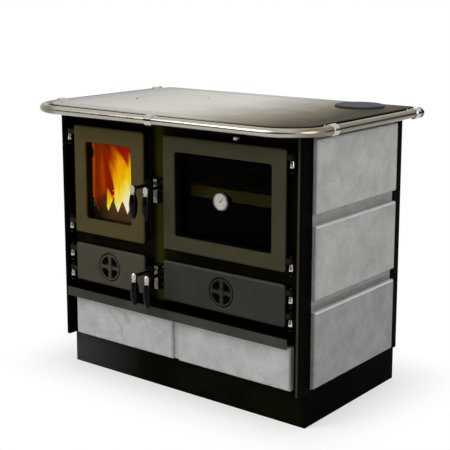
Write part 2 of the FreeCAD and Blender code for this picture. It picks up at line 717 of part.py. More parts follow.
def make_side_frame(name, side):
    """Side frame with a shallow window that takes the three slabs."""
    body = new_body(name)
    inside, outside = ("inner_x", "wing_span / 2") if side > 0 else ("-inner_x", "-wing_span / 2")
    face = rectangle(
        sketch(body, "YZ", inside),
        ("wing_front", "wing_depth / 2"), ("plinth_height", "carcass_top"))
    pad(body, face, "side_sheet", back=side < 0)
    edge_y = number("wing_front")
    dress(body, "Fillet", "frame_round", lambda edge: edge.BoundBox.YMax - edge_y < 1e-3
          and edge.BoundBox.ZLength > number("stone_space") / 2)
    window = rectangle(
        sketch(body, "YZ", outside),
        ("stone_y0 - stone_play", "stone_y1 + stone_play"),
        ("stone_z0 - stone_margin - stone_play", "upper_z1 + stone_margin + stone_play"))
    pocket(body, window, "stone_tongue", back=side < 0)
    return body


def make_front_plate():
    """Front plate welded from rails and stiles round the mouths of the firebox, ash space, oven and soot box."""
    def strip(name, x, z):
        return block(f"front_{name}", x, ("fascia_front", "fascia_back"), z)
    whole = ("-inner_x", "inner_x")
    slot = block(
        "damper_slot", ("slot_x", "slot_x + slot_length"), ("fascia_front - 1", "fascia_back + 1"),
        ("slot_level - damper_radius - damper_play", "slot_level + damper_radius + damper_play"))
    pieces = [
        cut("front_top_rail", strip("top", whole, ("oven_z1", "carcass_top")), slot),
        strip("middle_rail", whole, ("soot_z1", "oven_z0")),
        strip("bottom_rail", whole, ("deck_low", "soot_z0"))]
    upper, lower = ("oven_z0", "oven_z1"), ("soot_z0", "soot_z1")
    for word, inset, z in (("upper", "cavity_inset", upper), ("lower", "lower_inset", lower)):
        pieces.append(strip(f"{word}_left_stile", ("-inner_x", f"left_x0 + {inset}"), z))
        pieces.append(strip(f"{word}_post", (f"left_x1 - {inset}", f"right_x0 + {inset}"), z))
        pieces.append(strip(f"{word}_right_stile", (f"right_x1 - {inset}", "inner_x"), z))
    return group("front_plate", *pieces)


def make_rear_panel():
    def face(drawing):
        rectangle(drawing, ("-inner_x", "inner_x"), ("plinth_height", "carcass_top"))
        for level in ("flow_level", "return_level"):
            disc(drawing, "socket_x", level, "socket_radius + socket_play")
    return plate_xz("rear_panel", "rear_face", "rear_back", face)


def make_deck():
    return block("bay_deck", ("-inner_x", "inner_x"), ("fascia_back", "rear_face"), ("deck_low", "deck_top"))


# Soapstone

def make_side_stone(name, side, face, tongue):
    """A side slab: a bevelled face in front of a tongue that fills the frame's window."""
    body = new_body(name)
    floor = "wing_span / 2 - stone_tongue" if side > 0 else "stone_tongue - wing_span / 2"
    along = ("stone_y0", "stone_y1")
    pad(body, rectangle(sketch(body, "YZ", floor), along, tongue), "stone_tongue", back=side < 0)
    proud = rectangle(sketch(body, "YZ", floor), along, face)
    pad(body, proud, "stone_tongue + stone_proud", back=side < 0)
    outer = f"{side} * (wing_span / 2 + stone_proud)"
    dress(body, "Chamfer", "stone_chamfer", on_level("x", outer))
    return body


def make_side_stones():
    joint = "(stone_groove + stone_joint) / 2"
    rows = {
        "lower": ("stone_z0", "lower_z1", "stone_z0 - stone_margin", f"middle_z0 - {joint}"),
        "middle": ("middle_z0", "middle_z1", f"lower_z1 + {joint}", f"upper_z0 - {joint}"),
        "upper": ("upper_z0", "upper_z1", f"middle_z1 + {joint}", "upper_z1 + stone_margin"),
    }
    made = []
    for word, side in (("left", -1), ("right", 1)):
        for row, (low, high, tongue_low, tongue_high) in rows.items():
            name = f"{word}_{row}_stone"
            made.append(make_side_stone(name, side, (low, high), (tongue_low, tongue_high)))
    return made


# Fire side

def make_boiler():
    """Water jacket: three hollow walls, shown closed, with grate ledges, pan runners and sockets."""
    top = "carcass_top - jacket_top"
    sides = ("fascia_back", "fire_back")
    pieces = [
        block("jacket_left", ("jacket_x0", "fire_x0"), sides, ("deck_top", top)),
        block("jacket_right", ("fire_x1", "jacket_x1"), sides, ("deck_top", "carcass_top - gas_gap"))]
    for word, wall, ledge, runner in (
            ("left", "fire_x0", "fire_x0 + ledge_width", "fire_x0 + pan_runner"),
            ("right", "fire_x1", "fire_x1 - ledge_width", "fire_x1 - pan_runner")):
        for kind, edge, low, high in (
                ("ledge", ledge, "grate_level - ledge_height", "grate_level"),
                ("runner", runner, "deck_top", "pan_level")):
            across = (wall, edge) if word == "left" else (edge, wall)
            pieces.append(block(f"{word}_{kind}", across, sides, (low, high)))
    rear = block("jacket_rear", ("jacket_x0", "jacket_x1"), ("fire_back", "jacket_back"), ("deck_top", top))
    length = "socket_end - jacket_back"
    levels = ("flow_level", "return_level")
    sockets = [rod(f"socket_{i}", "y", "socket_radius", length, ("socket_x", "jacket_back", level))
               for i, level in enumerate(levels)]
    bores = [rod(f"bore_{i}", "y", "socket_bore", "socket_depth + 1", ("socket_x", "socket_end - socket_depth", level))
             for i, level in enumerate(levels)]
    pieces.append(cut("jacket_back_wall", fuse("jacket_back_whole", rear, *sockets), *bores))
    return group("boiler_jacket", *pieces)


def make_grate():
    """Cast grate with a row of slots."""
    body = new_body("grate")
    across = ("fire_x0 + grate_play", "fire_x1 - grate_play")
    along = ("fascia_back + grate_play", "fire_back - grate_play")
    pad(body, rectangle(sketch(body, "XY", "grate_level"), across, along), "grate_sheet")
    first = "fire_x0 + grate_play + grate_rim"
    slot = rectangle(
        sketch(body, "XY", "grate_top"), (first, f"{first} + grate_slot"),
        (f"{along[0]} + 2 * grate_rim", f"{along[1]} - grate_rim"))
    feature = pocket(body, slot, "grate_sheet + 1")
    count = int((number(across[1]) - number(first) - number("grate_rim + grate_slot")) // number("grate_pitch")) + 1
    row = body.newObject("PartDesign::LinearPattern", "grate_row")
    row.Originals = [feature]
    row.Direction = (slot, ["H_Axis"])
    row.Occurrences = count
    bind(row, Length=f"{count - 1} * grate_pitch")
    body.Tip = row
    return body


def make_log_guard():
    """Upright plate with pointed teeth, standing on the grate behind the firebox door."""
    left, right = "fire_x0 + grate_play", "fire_x1 - grate_play"
    low = "grate_top"
    root = "grate_top + guard_base"
    tip = f"{root} + guard_tooth"
    pitch = f"(firebox_width - 2 * grate_play) / {GUARD_TOOTH_COUNT}"
    corners = [(left, low), (right, low)]
    for i in range(GUARD_TOOTH_COUNT):
        corners.append((f"{right} - {i} * {pitch}", root))
        corners.append((f"{right} - ({i} + 0.5) * {pitch}", tip))
    corners.append((left, root))
    return plate_xz("log_guard", "guard_front", "guard_front + guard_sheet", lambda drawing: outline(drawing, corners))


def make_ash_pan():
    """Sheet pan on the jacket's runners: a floor and four walls, open at the top."""
    along = ("pan_front", "pan_back")
    inner = ("pan_x0 + pan_sheet", "pan_x1 - pan_sheet")
    height = ("pan_level + pan_sheet", "pan_level + pan_height")
    return group(
        "ash_pan",
        block("pan_floor", ("pan_x0", "pan_x1"), along, ("pan_level", height[0])),
        block("pan_left_wall", ("pan_x0", inner[0]), along, height),
        block("pan_right_wall", (inner[1], "pan_x1"), along, height),
        block("pan_front_wall", inner, ("pan_front", "pan_front + pan_sheet"), height),
        block("pan_rear_wall", inner, ("pan_back - pan_sheet", "pan_back"), height))


# Oven side

def make_liner(name, x, z, back):
    """Five-walled sheet box, open at the front plate."""
    wall = "oven_sheet"
    outer = block(f"{name}_outer", (f"{x[0]} - {wall}", f"{x[1]} + {wall}"), ("fascia_back", f"{back} + {wall}"),
                  (f"{z[0]} - {wall}", f"{z[1]} + {wall}"))
    inner = block(f"{name}_inner", x, ("fascia_back - 1", back), z)
    return cut(f"{name}_shell", outer, inner)


def make_oven_box():
    """Oven with three pairs of tray runners."""
    shell = make_liner("oven", ("oven_x0", "oven_x1"), ("oven_z0", "oven_z1"), "oven_back")
    along = ("fascia_back + rib_setback", "oven_back - rib_setback")
    ribs = []
    for level in range(1, TRAY_LEVEL_COUNT + 1):
        top = f"oven_z0 + {level} * rib_pitch"
        for word, across in (("left", ("oven_x0", "oven_x0 + rib_width")), ("right", ("oven_x1 - rib_width", "oven_x1"))):
            ribs.append(block(f"rib_{word}_{level}", across, along, (f"{top} - rib_height", top)))
    return fuse("oven_box", shell, *ribs)


def make_soot_box():
    return make_liner("soot", ("soot_x0", "soot_x1"), ("soot_z0", "soot_z1"), "soot_back")


def make_baking_tray():
    """Deep tray whose rim hangs on a pair of runners."""
    body = new_body("baking_tray")
    along = ("tray_front", "tray_back")
    rim = rectangle(sketch(body, "XY", "tray_level"), ("tray_x0", "tray_x1"), along)
    pad(body, rim, "tray_sheet")
    well = rectangle(
        sketch(body, "XY", "tray_level"), ("tray_x0 + tray_rim", "tray_x1 - tray_rim"), along)
    pad(body, well, "tray_height - tray_sheet", back=True)
    inside = rectangle(
        sketch(body, "XY", "tray_level + tray_sheet"),
        ("tray_x0 + tray_rim + tray_sheet", "tray_x1 - tray_rim - tray_sheet"),
        ("tray_front + tray_sheet", "tray_back - tray_sheet"))
    pocket(body, inside, "tray_height - tray_sheet")
    return body


def make_damper():
    """Slider behind the front plate with a rod through its slot, and the knob on the rod."""
    back = "fascia_back + damper_play"
    plate = block(
        "damper_plate", ("damper_x - slider_height / 2", "damper_x - slider_height / 2 + slider_length"),
        (back, f"{back} + slider_sheet"), ("slot_level - slider_height / 2", "slot_level + slider_height / 2"))
    rod_start = "fascia_front - damper_proud"
    shank = rod("damper_rod", "y", "damper_radius", f"{back} + slider_sheet - ({rod_start})", ("damper_x", rod_start, "slot_level"))
    slider = fuse("damper_slider", plate, shank)
    r = "knob_radius"
    profile = [("0", "0"), ("damper_radius", "0"), (f"{r} * 0.8", f"{r} * 0.3"), (r, f"{r} * 0.9"),
               (f"{r} * 0.8", f"{r} * 1.5"), (f"{r} * 0.4", f"{r} * 1.8"), ("0", f"{r} * 1.85")]
    knob = turned("damper_knob", profile, "-y", ("damper_x", rod_start, "slot_level"))
    return slider, knob


# Hob

def make_hob_frame():
    """Cast frame with a stepped opening for the cooking plate and a flue hole."""
    body = new_body("hob_frame")
    face = rectangle(sketch(body, "XY", "carcass_top"), ("-hob_x", "hob_x"), ("hob_front", "hob_back"))
    disc(face, "flue_x", "flue_y", "flue_radius")
    pad(body, face, "hob_edge")
    front, back, tall = number("hob_front"), number("hob_back"), number("hob_edge")
    dress(body, "Fillet", "hob_corner", lambda edge: edge.BoundBox.ZLength > tall - 1e-3
          and edge.BoundBox.YMax < front + 1e-3)
    dress(body, "Fillet", "hob_rear_corner", lambda edge: edge.BoundBox.ZLength > tall - 1e-3
          and edge.BoundBox.YMin > back - 1e-3)
    on_top = on_level("z", "hob_height")
    dress(body, "Fillet", "hob_round", lambda edge: on_top(edge)
          and abs(edge.BoundBox.DiagonalLength - 8 ** 0.5 * number("flue_radius")) > 1)
    seat = rounded(sketch(body, "XY", "hob_height"), ("plate_x0", "plate_x1"), ("plate_y0", "plate_y1"), "plate_corner")
    pocket(body, seat, "plate_sheet")
    well = rounded(
        sketch(body, "XY", "plate_low"), ("plate_x0 + plate_ledge", "plate_x1 - plate_ledge"),
        ("plate_y0 + plate_ledge", "plate_y1 - plate_ledge"), "plate_corner")
    pocket(body, well, "hob_edge")
    return body


def make_cooking_plate():
    """Inset plate with a stepped round opening under the lid."""
    body = new_body("cooking_plate")
    face = rounded(
        sketch(body, "XY", "plate_low"), ("plate_x0 + plate_play", "plate_x1 - plate_play"),
        ("plate_y0 + plate_play", "plate_y1 - plate_play"), "plate_corner")
    pad(body, face, "plate_sheet")
    step = disc(sketch(body, "XY", "hob_height"), "lid_x", "lid_y", "lid_radius + lid_play")
    pocket(body, step, "lid_sheet")
    through = disc(sketch(body, "XY", "lid_low"), "lid_x", "lid_y", "lid_radius - lid_ledge")
    pocket(body, through, "plate_sheet")
    return body


def make_lid():
    """Round lid with a soft rim and a notch for the lifting hook."""
    body = new_body("hob_lid")
    pad(body, disc(sketch(body, "XY", "lid_low + lid_lift"), "lid_x", "lid_y", "lid_radius"), "lid_sheet - lid_lift")
    dress(body, "Fillet", "lid_round", on_level("z", "hob_height"))
    step = "lid_radius / sqrt(2)"
    notch = disc(sketch(body, "XY", "hob_height"), f"lid_x - {step}", f"lid_y - {step}", "lid_notch")
    pocket(body, notch, "lid_sheet")
    return body


def make_flue():
    """Collar under the hob frame, and the cap that closes it."""
    outer = "flue_radius + collar_wall"
    ring = [("flue_radius", "0"), (outer, "0"), (outer, "collar_length"), ("flue_radius", "collar_length")]
    collar = turned("flue_collar", ring, place=("flue_x", "flue_y", "carcass_top - collar_length"))
    rim = "flue_radius - cap_play"
    top = "cap_lift + cap_sheet"
    profile = [
        ("0", "cap_lift"), ("flue_radius - 2 * cap_sheet", "cap_lift"), ("flue_radius - 2 * cap_sheet", "-cap_spigot"),
        (rim, "-cap_spigot"), (rim, "cap_lift"), ("cap_radius", "cap_lift"), ("cap_radius", f"{top} - cap_sheet / 2"),
        ("cap_radius - cap_sheet / 2", top), ("0", top)]
    cap = turned("flue_cap", profile, place=("flue_x", "flue_y", "hob_height"))
    return collar, cap


# Rail

def make_rail():
    """Bent tube round the front and both sides of the hob."""
    def run(name, radius):
        points = [
            ("rail_x", "rail_end"), ("rail_x", "rail_y + rail_bend"), ("rail_x - rail_bend", "rail_y"),
            ("rail_bend - rail_x", "rail_y"), ("-rail_x", "rail_y + rail_bend"), ("-rail_x", "rail_end")]
        z = number("rail_z")
        spots = [FreeCAD.Vector(number(x), number(y), z) for x, y in points]
        slack = number("rail_bend") * (1 - 0.5 ** 0.5)
        corners = [FreeCAD.Vector(side * (number("rail_x") - slack), number("rail_y") + slack, z) for side in (1, -1)]
        edges = [
            Part.makeLine(spots[0], spots[1]), Part.Arc(spots[1], corners[0], spots[2]).toShape(),
            Part.makeLine(spots[2], spots[3]), Part.Arc(spots[3], corners[1], spots[4]).toShape(),
            Part.makeLine(spots[4], spots[5])]
        ring = Part.Wire(Part.makeCircle(number(radius), spots[0], FreeCAD.Vector(0, 1, 0)))
        feature = doc.addObject("Part::Feature", name)
        feature.Shape = Part.Wire(edges).makePipeShell([ring], True, False)
        return feature
    return cut("rail_tube", run("rail_outside", "rail_radius"), run("rail_inside", "rail_radius - rail_wall"))


def make_knuckles():
    """Collars that hold the rail off the hob frame's edge."""
    r, half, bevel = "knuckle_radius", "knuckle_length / 2", "knuckle_bevel"
    bore = "rail_radius + knuckle_play"
    ring = turned(
        "knuckle_ring",
        [(bore, f"-{half}"), (f"{r} - {bevel}", f"-{half}"), (r, f"{bevel} - {half}"), (r, f"{half} - {bevel}"),
         (f"{r} - {bevel}", half), (bore, half)], "y")
    reach = "rail_gap + rail_radius"
    stem = rod("knuckle_stem", "x", "knuckle_stem", "rail_gap", (f"-({reach})", "0", "0"))
    flange = rod("knuckle_flange", "x", "knuckle_flange", "knuckle_sheet", (f"-({reach})", "0", "0"))
    hollow = rod("knuckle_hollow", "y", bore, "knuckle_length", ("0", f"-{half}", "0"))
    knuckle = cut("knuckle", fuse("knuckle_whole", ring, stem, flange), hollow)
    places = [("0", "rail_y", "rail_z", -90)]
    for y in ("knuckle_front", "knuckle_rear"):
        places += [("rail_x", y, "rail_z", 0), ("-rail_x", y, "rail_z", 180)]
    return copies("rail_knuckles", knuckle, places)


def make_end_caps():
    brim = "rail_radius + cap_brim"
    cap = turned("end_cap", [("0", "0"), (brim, "0"), (brim, "cap_end / 2"), ("rail_radius", "cap_end"), ("0", "cap_end")], "y")
    return copies("rail_end_caps", cap, [(x, "rail_end", "rail_z", 0) for x in ("rail_x", "-rail_x")])


# Doors

def ear_levels(base, height):
    """Undersides of a door's two hinge ears."""
    return [f"{base} + ear_low", f"{base} + {height} - ear_high - ear_height"]


class Door:
    """The span, hinge side and latch of one door."""

    def __init__(self, name, x0, x1, base, height, hinge, latch):
        self.name = name
        self.x0, self.x1 = x0, x1
        self.base, self.height = base, height
        self.top = f"{base} + {height}"
        self.hinge_left = hinge == "left"
        self.hinge_x = "-hinge_x" if self.hinge_left else "hinge_x"
        self.hinge_edge = x0 if self.hinge_left else x1
        self.free_edge = x1 if self.hinge_left else x0
        self.latch_x = "latch_left_x" if self.hinge_left else "latch_right_x"
        self.latch = latch

    def inset(self, margin):
        """The door's span moved in by a margin."""
        across = (f"{self.x0} + {margin}", f"{self.x1} - ({margin})")
        return across, (f"{self.base} + {margin}", f"{self.top} - ({margin})")


FIRE = Door("firebox", "left_x0", "left_x1", "upper_door_base", "upper_door_height", "left", "upper_latch")
ASH = Door("ash", "left_x0", "left_x1", "lower_door_base", "lower_door_height", "left", "lower_latch")
OVEN = Door("oven", "right_x0", "right_x1", "upper_door_base", "upper_door_height", "right", "upper_latch")
LOWER = Door("lower", "right_x0", "right_x1", "lower_door_base", "lower_door_height", "right", "lower_latch")
DOORS = (FIRE, ASH, OVEN, LOWER)


def make_door_plate(door, skirt_back):
    """Cast door plate with a rounded front edge, a skirt, hinge ears and a latch lug."""
    body = new_body(f"{door.name}_door")
    pad(body, rectangle(xz(body, "slab_back"), (door.x0, door.x1), (door.base, door.top)), "door_slab")
    dress(body, "Fillet", "door_round", on_level("y", "door_front"))
    pad(body, rectangle(xz(body, skirt_back), *door.inset("skirt_inset")), f"{skirt_back} - slab_back")
    for level in ear_levels(door.base, door.height):
        ear = sketch(body, "XY", level)
        middle = f"({door.x0} + {door.x1}) / 2"
        root = f"{door.hinge_edge} + ({middle} - {door.hinge_edge}) / 20"
        tab(ear, root, door.hinge_x, "hinge_y", "ear_radius")
        disc(ear, door.hinge_x, "hinge_y", "hinge_pin_radius + fit_play")
        pad(body, ear, "ear_height")
    lug = xz(body, "slab_back")
    inward = "-lug_radius" if door.hinge_left else "lug_radius"
    tab(lug, f"{door.free_edge} + {inward}", door.latch_x, door.latch, "lug_radius")
    disc(lug, door.latch_x, door.latch, "shaft_radius + fit_play")
    pad(body, lug, "door_slab - door_round")
    return body


def make_window_door(door, border):
    """Door with a window, a rebate for its glass behind it, the glass, its clips and a rope seal."""
    body = make_door_plate(door, "skirt_back")
    through = rounded(xz(body, "door_front"), *door.inset(border), "window_round")
    pocket(body, through, "door_depth + 1", back=False)
    rebate = rectangle(xz(body, "skirt_back"), *door.inset(f"{border} - glass_lap"))
    pocket(body, rebate, "skirt_back - glass_front", back=True)
    return body


def make_glass(door, border, hole=None):
    def face(drawing):
        rectangle(drawing, *door.inset(f"{border} - glass_lap + glass_play"))
        if hole:
            disc(drawing, *hole)
    return plate_xz(f"{door.name}_glass", "glass_front", "glass_back", face)


def make_clips(door, border):
    """Four bars in the rebate, behind the corners of the glass."""
    (x0, x1), (z0, z1) = door.inset(f"{border} - glass_lap")
    depth = ("glass_back", "skirt_back")
    third = f"({door.height} - 2 * ({border})) / 3"
    clips = []
    for i, level in enumerate((f"{door.base} + {border} + {third} / 2", f"{door.top} - ({border}) - {third} / 2")):
        span = (f"{level} - clip_length / 2", f"{level} + clip_length / 2")
        clips.append(block(f"{door.name}_clip_l{i}", (x0, f"{x0} + clip_width"), depth, span))
        clips.append(block(f"{door.name}_clip_r{i}", (f"{x1} - clip_width", x1), depth, span))
    return group(f"{door.name}_glass_clips", *clips)


def make_seal(door):
    """Rope seal on the back of the skirt."""
    def face(drawing):
        rounded(drawing, *door.inset("seal_inset"), "window_round + seal_width")
        rounded(drawing, *door.inset("seal_inset + seal_width"), "window_round")
    body = plate_xz(f"{door.name}_seal", "skirt_back", "fascia_front - seal_play", face)
    return body


def make_wheel_door(door, wheel_x):
    """Door with a recess and a ring of air ports behind its wheel, hollow at the back."""
    body = make_door_plate(door, "lower_skirt_back")
    hollow = rectangle(xz(body, "lower_skirt_back"), *door.inset("skirt_inset + skirt_wall"))
    pocket(body, hollow, "lower_skirt_back - slab_back", back=True)
    recess = disc(xz(body, "door_front", (wheel_x, "rosette_z")), "0", "0", "wheel_radius + wheel_play")
    pocket(body, recess, "wheel_recess")
    shaft = disc(xz(body, "recess_floor", (wheel_x, "rosette_z")), "0", "0", "spindle_radius + fit_play")
    pocket(body, shaft, "door_slab")
    pierce(body, xz(body, "recess_floor", (wheel_x, "rosette_z")), "door_slab", "port")
    return body


def pierce(body, drawing, depth, kind):
    """Tapered windows or ports about the sketch's origin, on its diagonals."""
    inner, outer, cut_off = f"{kind}_narrow / 2", f"{kind}_wide / 2", f"{kind}_corner"
    near, far = f"{kind}_inner", f"{kind}_outer"
    corners = [
        (f"-({inner})", near), (inner, near), (outer, f"{far} - {cut_off}"), (f"{outer} - {cut_off}", far),
        (f"{cut_off} - {outer}", far), (f"-({outer})", f"{far} - {cut_off}")]
    outline(drawing, [(f"(({v}) + ({u})) / sqrt(2)", f"(({v}) - ({u})) / sqrt(2)") for u, v in corners])
    feature = pocket(body, drawing, depth)
    ring = body.newObject("PartDesign::PolarPattern", f"{body.Name}_ring")
    ring.Originals = [feature]
    ring.Axis = (drawing, ["N_Axis"])
    ring.Angle = 360
    ring.Occurrences = WHEEL_HOLE_COUNT
    body.Tip = ring


def make_air_wheel(name, wheel_x):
    """Spinner whose spokes shut the ports, with a boss and a spindle headed behind the door plate."""
    body = new_body(name)
    here = (wheel_x, "rosette_z")
    pad(body, disc(xz(body, "wheel_back", here), "0", "0", "wheel_radius"), "wheel_sheet")
    pierce(body, xz(body, "wheel_back - wheel_sheet", here), "wheel_sheet + 1", "hole")
    pad(body, disc(xz(body, "wheel_back", here), "0", "0", "boss_radius"), "wheel_sheet + boss_proud")
    tail = "slab_back + boss_proud"
    pad(body, disc(xz(body, tail, here), "0", "0", "spindle_radius"), f"{tail} - wheel_back")
    head = disc(xz(body, tail, here), "0", "0", "boss_radius - spindle_radius / 2")
    pad(body, head, "boss_proud - wheel_lift")
    front = on_level("y", "wheel_back - wheel_sheet - boss_proud")
    dress(body, "Fillet", "boss_proud / 2", front)
    return body


# Latches and hinges

def make_lever(door):
    """Latch lever: shaft through the lug, tongue behind it and ferrule in front."""
    x, z = door.latch_x, door.latch
    way = 1 if door.hinge_left else -1
    shaft = rod(f"{door.name}_shaft", "y", "shaft_radius", "tongue_back - handle_y", (x, "handle_y", z))
    tongue = new_body(f"{door.name}_tongue")
    end = f"{x} + {way} * (tongue_reach - tongue_height / 2)"
    pad(tongue, tab(xz(tongue, "tongue_back"), f"{x} - {way} * shaft_radius", end, z, "tongue_height / 2"), "tongue_sheet")
    stop = rod(f"{door.name}_stop", "y", "shaft_radius * 1.6", "shaft_radius",
               (x, "door_front - shaft_radius - tongue_play", z))
    r, low = "ferrule_radius", "-ferrule_length"
    profile = [
        ("0", "ferrule_top"), (f"{r} * 0.6", "ferrule_top"), (r, "ferrule_top * 0.5"), (r, "-ferrule_top"),
        (f"{r} * 0.8", f"{low} * 0.5"), (f"{r} * 0.8", f"{low} * 0.75"), (r, f"{low} * 0.85"), (r, low), ("0", low)]
    ferrule = turned(f"{door.name}_ferrule", profile, place=(x, "handle_y", z))
    return fuse(f"{door.name}_lever", shaft, tongue, stop, ferrule)


def make_grip(door):
    """Spindle-shaped hand grip that hangs from the ferrule."""
    r, long = "grip_radius", "grip_length"
    profile = [
        ("0", "0"), (f"{r} * 0.66", "0"), (f"{r} * 0.86", f"-{long} * 0.16"), (r, f"-{long} * 0.38"),
        (f"{r} * 0.97", f"-{long} * 0.56"), (f"{r} * 0.8", f"-{long} * 0.76"), (f"{r} * 0.55", f"-{long} * 0.92"),
        (f"{r} * 0.25", f"-{long}"), ("0", f"-{long}")]
    return turned(f"{door.name}_grip", profile, place=(door.latch_x, "handle_y", f"{door.latch} - ferrule_length"))


def make_keepers():
    """Keepers on the post between the doors: a flange and an upright nose."""
    keepers = []
    for level in ("upper_latch", "lower_latch"):
        span = (f"{level} - keeper_below", f"{level} + keeper_above")
        flange = block(f"{level}_flange", ("mullion_x - keeper_flange / 2", "mullion_x + keeper_flange / 2"),
                       ("fascia_front - keeper_sheet", "fascia_front"), span)
        nose = new_body(f"{level}_nose")
        across = ("mullion_x - keeper_width / 2", "mullion_x + keeper_width / 2")
        pad(nose, rectangle(sketch(nose, "XY", span[0]), across, ("keeper_front", "fascia_front")),
            "keeper_below + keeper_above")
        front_y = number("keeper_front")
        dress(nose, "Fillet", "keeper_width / 4", lambda edge: edge.BoundBox.YMax - front_y < 1e-3)
        keepers.append(fuse(f"{level}_keeper", flange, nose))
    return group("latch_keepers", *keepers)


def hinge_places():
    """The foot of each hinge pin's cone."""
    places = []
    for door in DOORS:
        for level in ear_levels(door.base, door.height):
            places.append((door.hinge_x, "hinge_y", f"{level} - pin_drop", 0))
    return places


def make_hinges():
    """Brackets on the front plate and the conical pins that carry the doors."""
    r, reach = "ear_radius", "fascia_front - hinge_y"
    arm = block("hinge_arm", (f"-{r}", r), ("0", reach), ("-bracket_sheet", "0"))
    nose = rod("hinge_nose", "z", r, "bracket_sheet", ("0", "0", "-bracket_sheet"))
    bore = rod("hinge_bore", "z", "hinge_pin_radius + fit_play", "bracket_sheet", ("0", "0", "-bracket_sheet"))
    bracket = cut("hinge_bracket", fuse("hinge_bracket_whole", arm, nose), bore)
    pin, cone, foot = "hinge_pin_radius", "hinge_collar", "bracket_sheet"
    top = "hinge_collar + ear_play + ear_height + hinge_pin_radius"
    profile = [
        ("0", f"-{foot} * 1.75"), (f"{pin} * 1.5", f"-{foot} * 1.75"), (f"{pin} * 1.5", f"-{foot}"), (pin, f"-{foot}"),
        (pin, "0"), ("hinge_collar_radius", "0"), ("hinge_collar_radius", f"{cone} * 0.3"), (f"{pin} * 1.4", cone),
        (pin, cone), (pin, top), (f"{pin} * 0.6", f"{top} + {pin} * 0.6"), ("0", f"{top} + {pin} * 0.6")]
    master = turned("hinge_pin", profile)
    return copies("hinge_brackets", bracket, hinge_places()), copies("hinge_pins", master, hinge_places())


# Thermometer

def make_thermometer():
    """Dial thermometer on the oven glass: case with its stem, dial plate and needle."""
    stem, nut, neck, rim = "stem_radius", "neck_radius", "neck_radius", "case_radius"
    front = "neck_length + case_depth"
    bore = "needle_spindle + fit_play"
    profile = [
        ("0", "-4 * glass_sheet"), (stem, "-4 * glass_sheet"), (stem, "-2.5 * glass_sheet"), (nut, "-2.5 * glass_sheet"),
        (nut, "-glass_sheet"), (stem, "-glass_sheet"), (stem, "0"), (neck, "0"), (neck, "neck_length"),
        (f"{rim} * 0.8", "neck_length"), (rim, "neck_length + case_depth / 3"), (rim, f"{front} - 2"), (f"{rim} - 2", front),
        ("dial_radius", front), ("dial_radius", "dial_floor"), (bore, "dial_floor"), (bore, "dial_floor - 2 * dial_recess"),
        ("0", "dial_floor - 2 * dial_recess")]
    here = ("dial_x", "glass_front", "dial_z")
    case = turned("thermometer_case", profile, "-y", here)
    plate = [(bore, "dial_floor"), ("dial_radius - stem_play", "dial_floor"),
             ("dial_radius - stem_play", "dial_floor + dial_sheet"), (bore, "dial_floor + dial_sheet")]
    dial = turned("thermometer_dial", plate, "-y", here)
    return case, dial


def make_needle():
    body = new_body("thermometer_needle")
    lift = "dial_floor + dial_sheet + needle_lift"
    half = "needle_width / 2"
    shape = outline(sketch(body, "XY", lift), [
        ("0", "-needle_tail"), (half, "0"), ("needle_width / 8", "needle_length"), ("-needle_width / 8", "needle_length"),
        (f"-{half}", "0")])
    pad(body, shape, "needle_sheet")
    start = "dial_floor - dial_recess"
    axle = disc(sketch(body, "XY", start), "0", "0", "needle_spindle")
    pad(body, axle, f"{lift} + needle_sheet - ({start})")
    lean = FreeCAD.Rotation(FreeCAD.Vector(0, 0, 1), -number("needle_lean"))
    body.Placement.Rotation = TURNS["-y"].multiply(lean)
    return at(body, "dial_x", "glass_front", "dial_z")


# Wood drawer

def make_drawer_box():
    """Folded box behind a wide front."""
    front = block("drawer_front", ("-drawer_x", "drawer_x"), ("slab_rear", "drawer_back"),
                  ("plinth_height + drawer_low", "deck_low - drawer_high"))
    outer = block("drawer_outer", ("-box_x", "box_x"), ("drawer_back", "drawer_end"),
                  ("box_z0", "box_z0 + drawer_height"))
    inner = block("drawer_inner", ("drawer_wall - box_x", "box_x - drawer_wall"),
                  ("drawer_back", "drawer_end - drawer_wall"),
                  ("box_z0 + drawer_wall", "box_z0 + drawer_height + 1"))
    return fuse("drawer_box", front, cut("drawer_tray", outer, inner))


def make_drawer_stone(name, side):
    """Front slab with a tongue that shows in the groove beside the other slab."""
    body = new_body(name)
    ends = [f"{side} * slab_seam / 2", f"{side} * slab_x"]
    tongue = [f"{side} * stone_joint / 2", f"{side} * slab_x"]
    if side < 0:
        ends.reverse()
        tongue.reverse()
    height = ("slab_z0", "slab_z1")
    pad(body, rectangle(xz(body, "slab_rear"), tongue, height), "slab_tongue")
    pad(body, rectangle(xz(body, "slab_rear"), ends, height), "slab_tongue + slab_sheet")
    dress(body, "Chamfer", "stone_chamfer", on_level("y", "slab_face"))
    return body


def make_drawer_grip():
    """Folded strip with a finger hollow under its lip."""
    body = new_body("drawer_grip")
    fold = "grip_sheet"
    section = outline(sketch(body, "YZ", "-grip_x"), [
        ("grip_front", "grip_z0"), (f"grip_front + {fold}", "grip_z0"), (f"grip_front + {fold}", f"grip_z1 - {fold}"),
        ("slab_rear", f"grip_z1 - {fold}"), ("slab_rear", "grip_z1"), ("grip_front", "grip_z1")])
    pad(body, section, "2 * grip_x")
    y, z = number("grip_front"), number("grip_z1")
    dress(body, "Fillet", "grip_round", lambda edge: edge.BoundBox.YMax - y < 1e-3 and edge.BoundBox.ZMin > z - 1e-3)
    return body


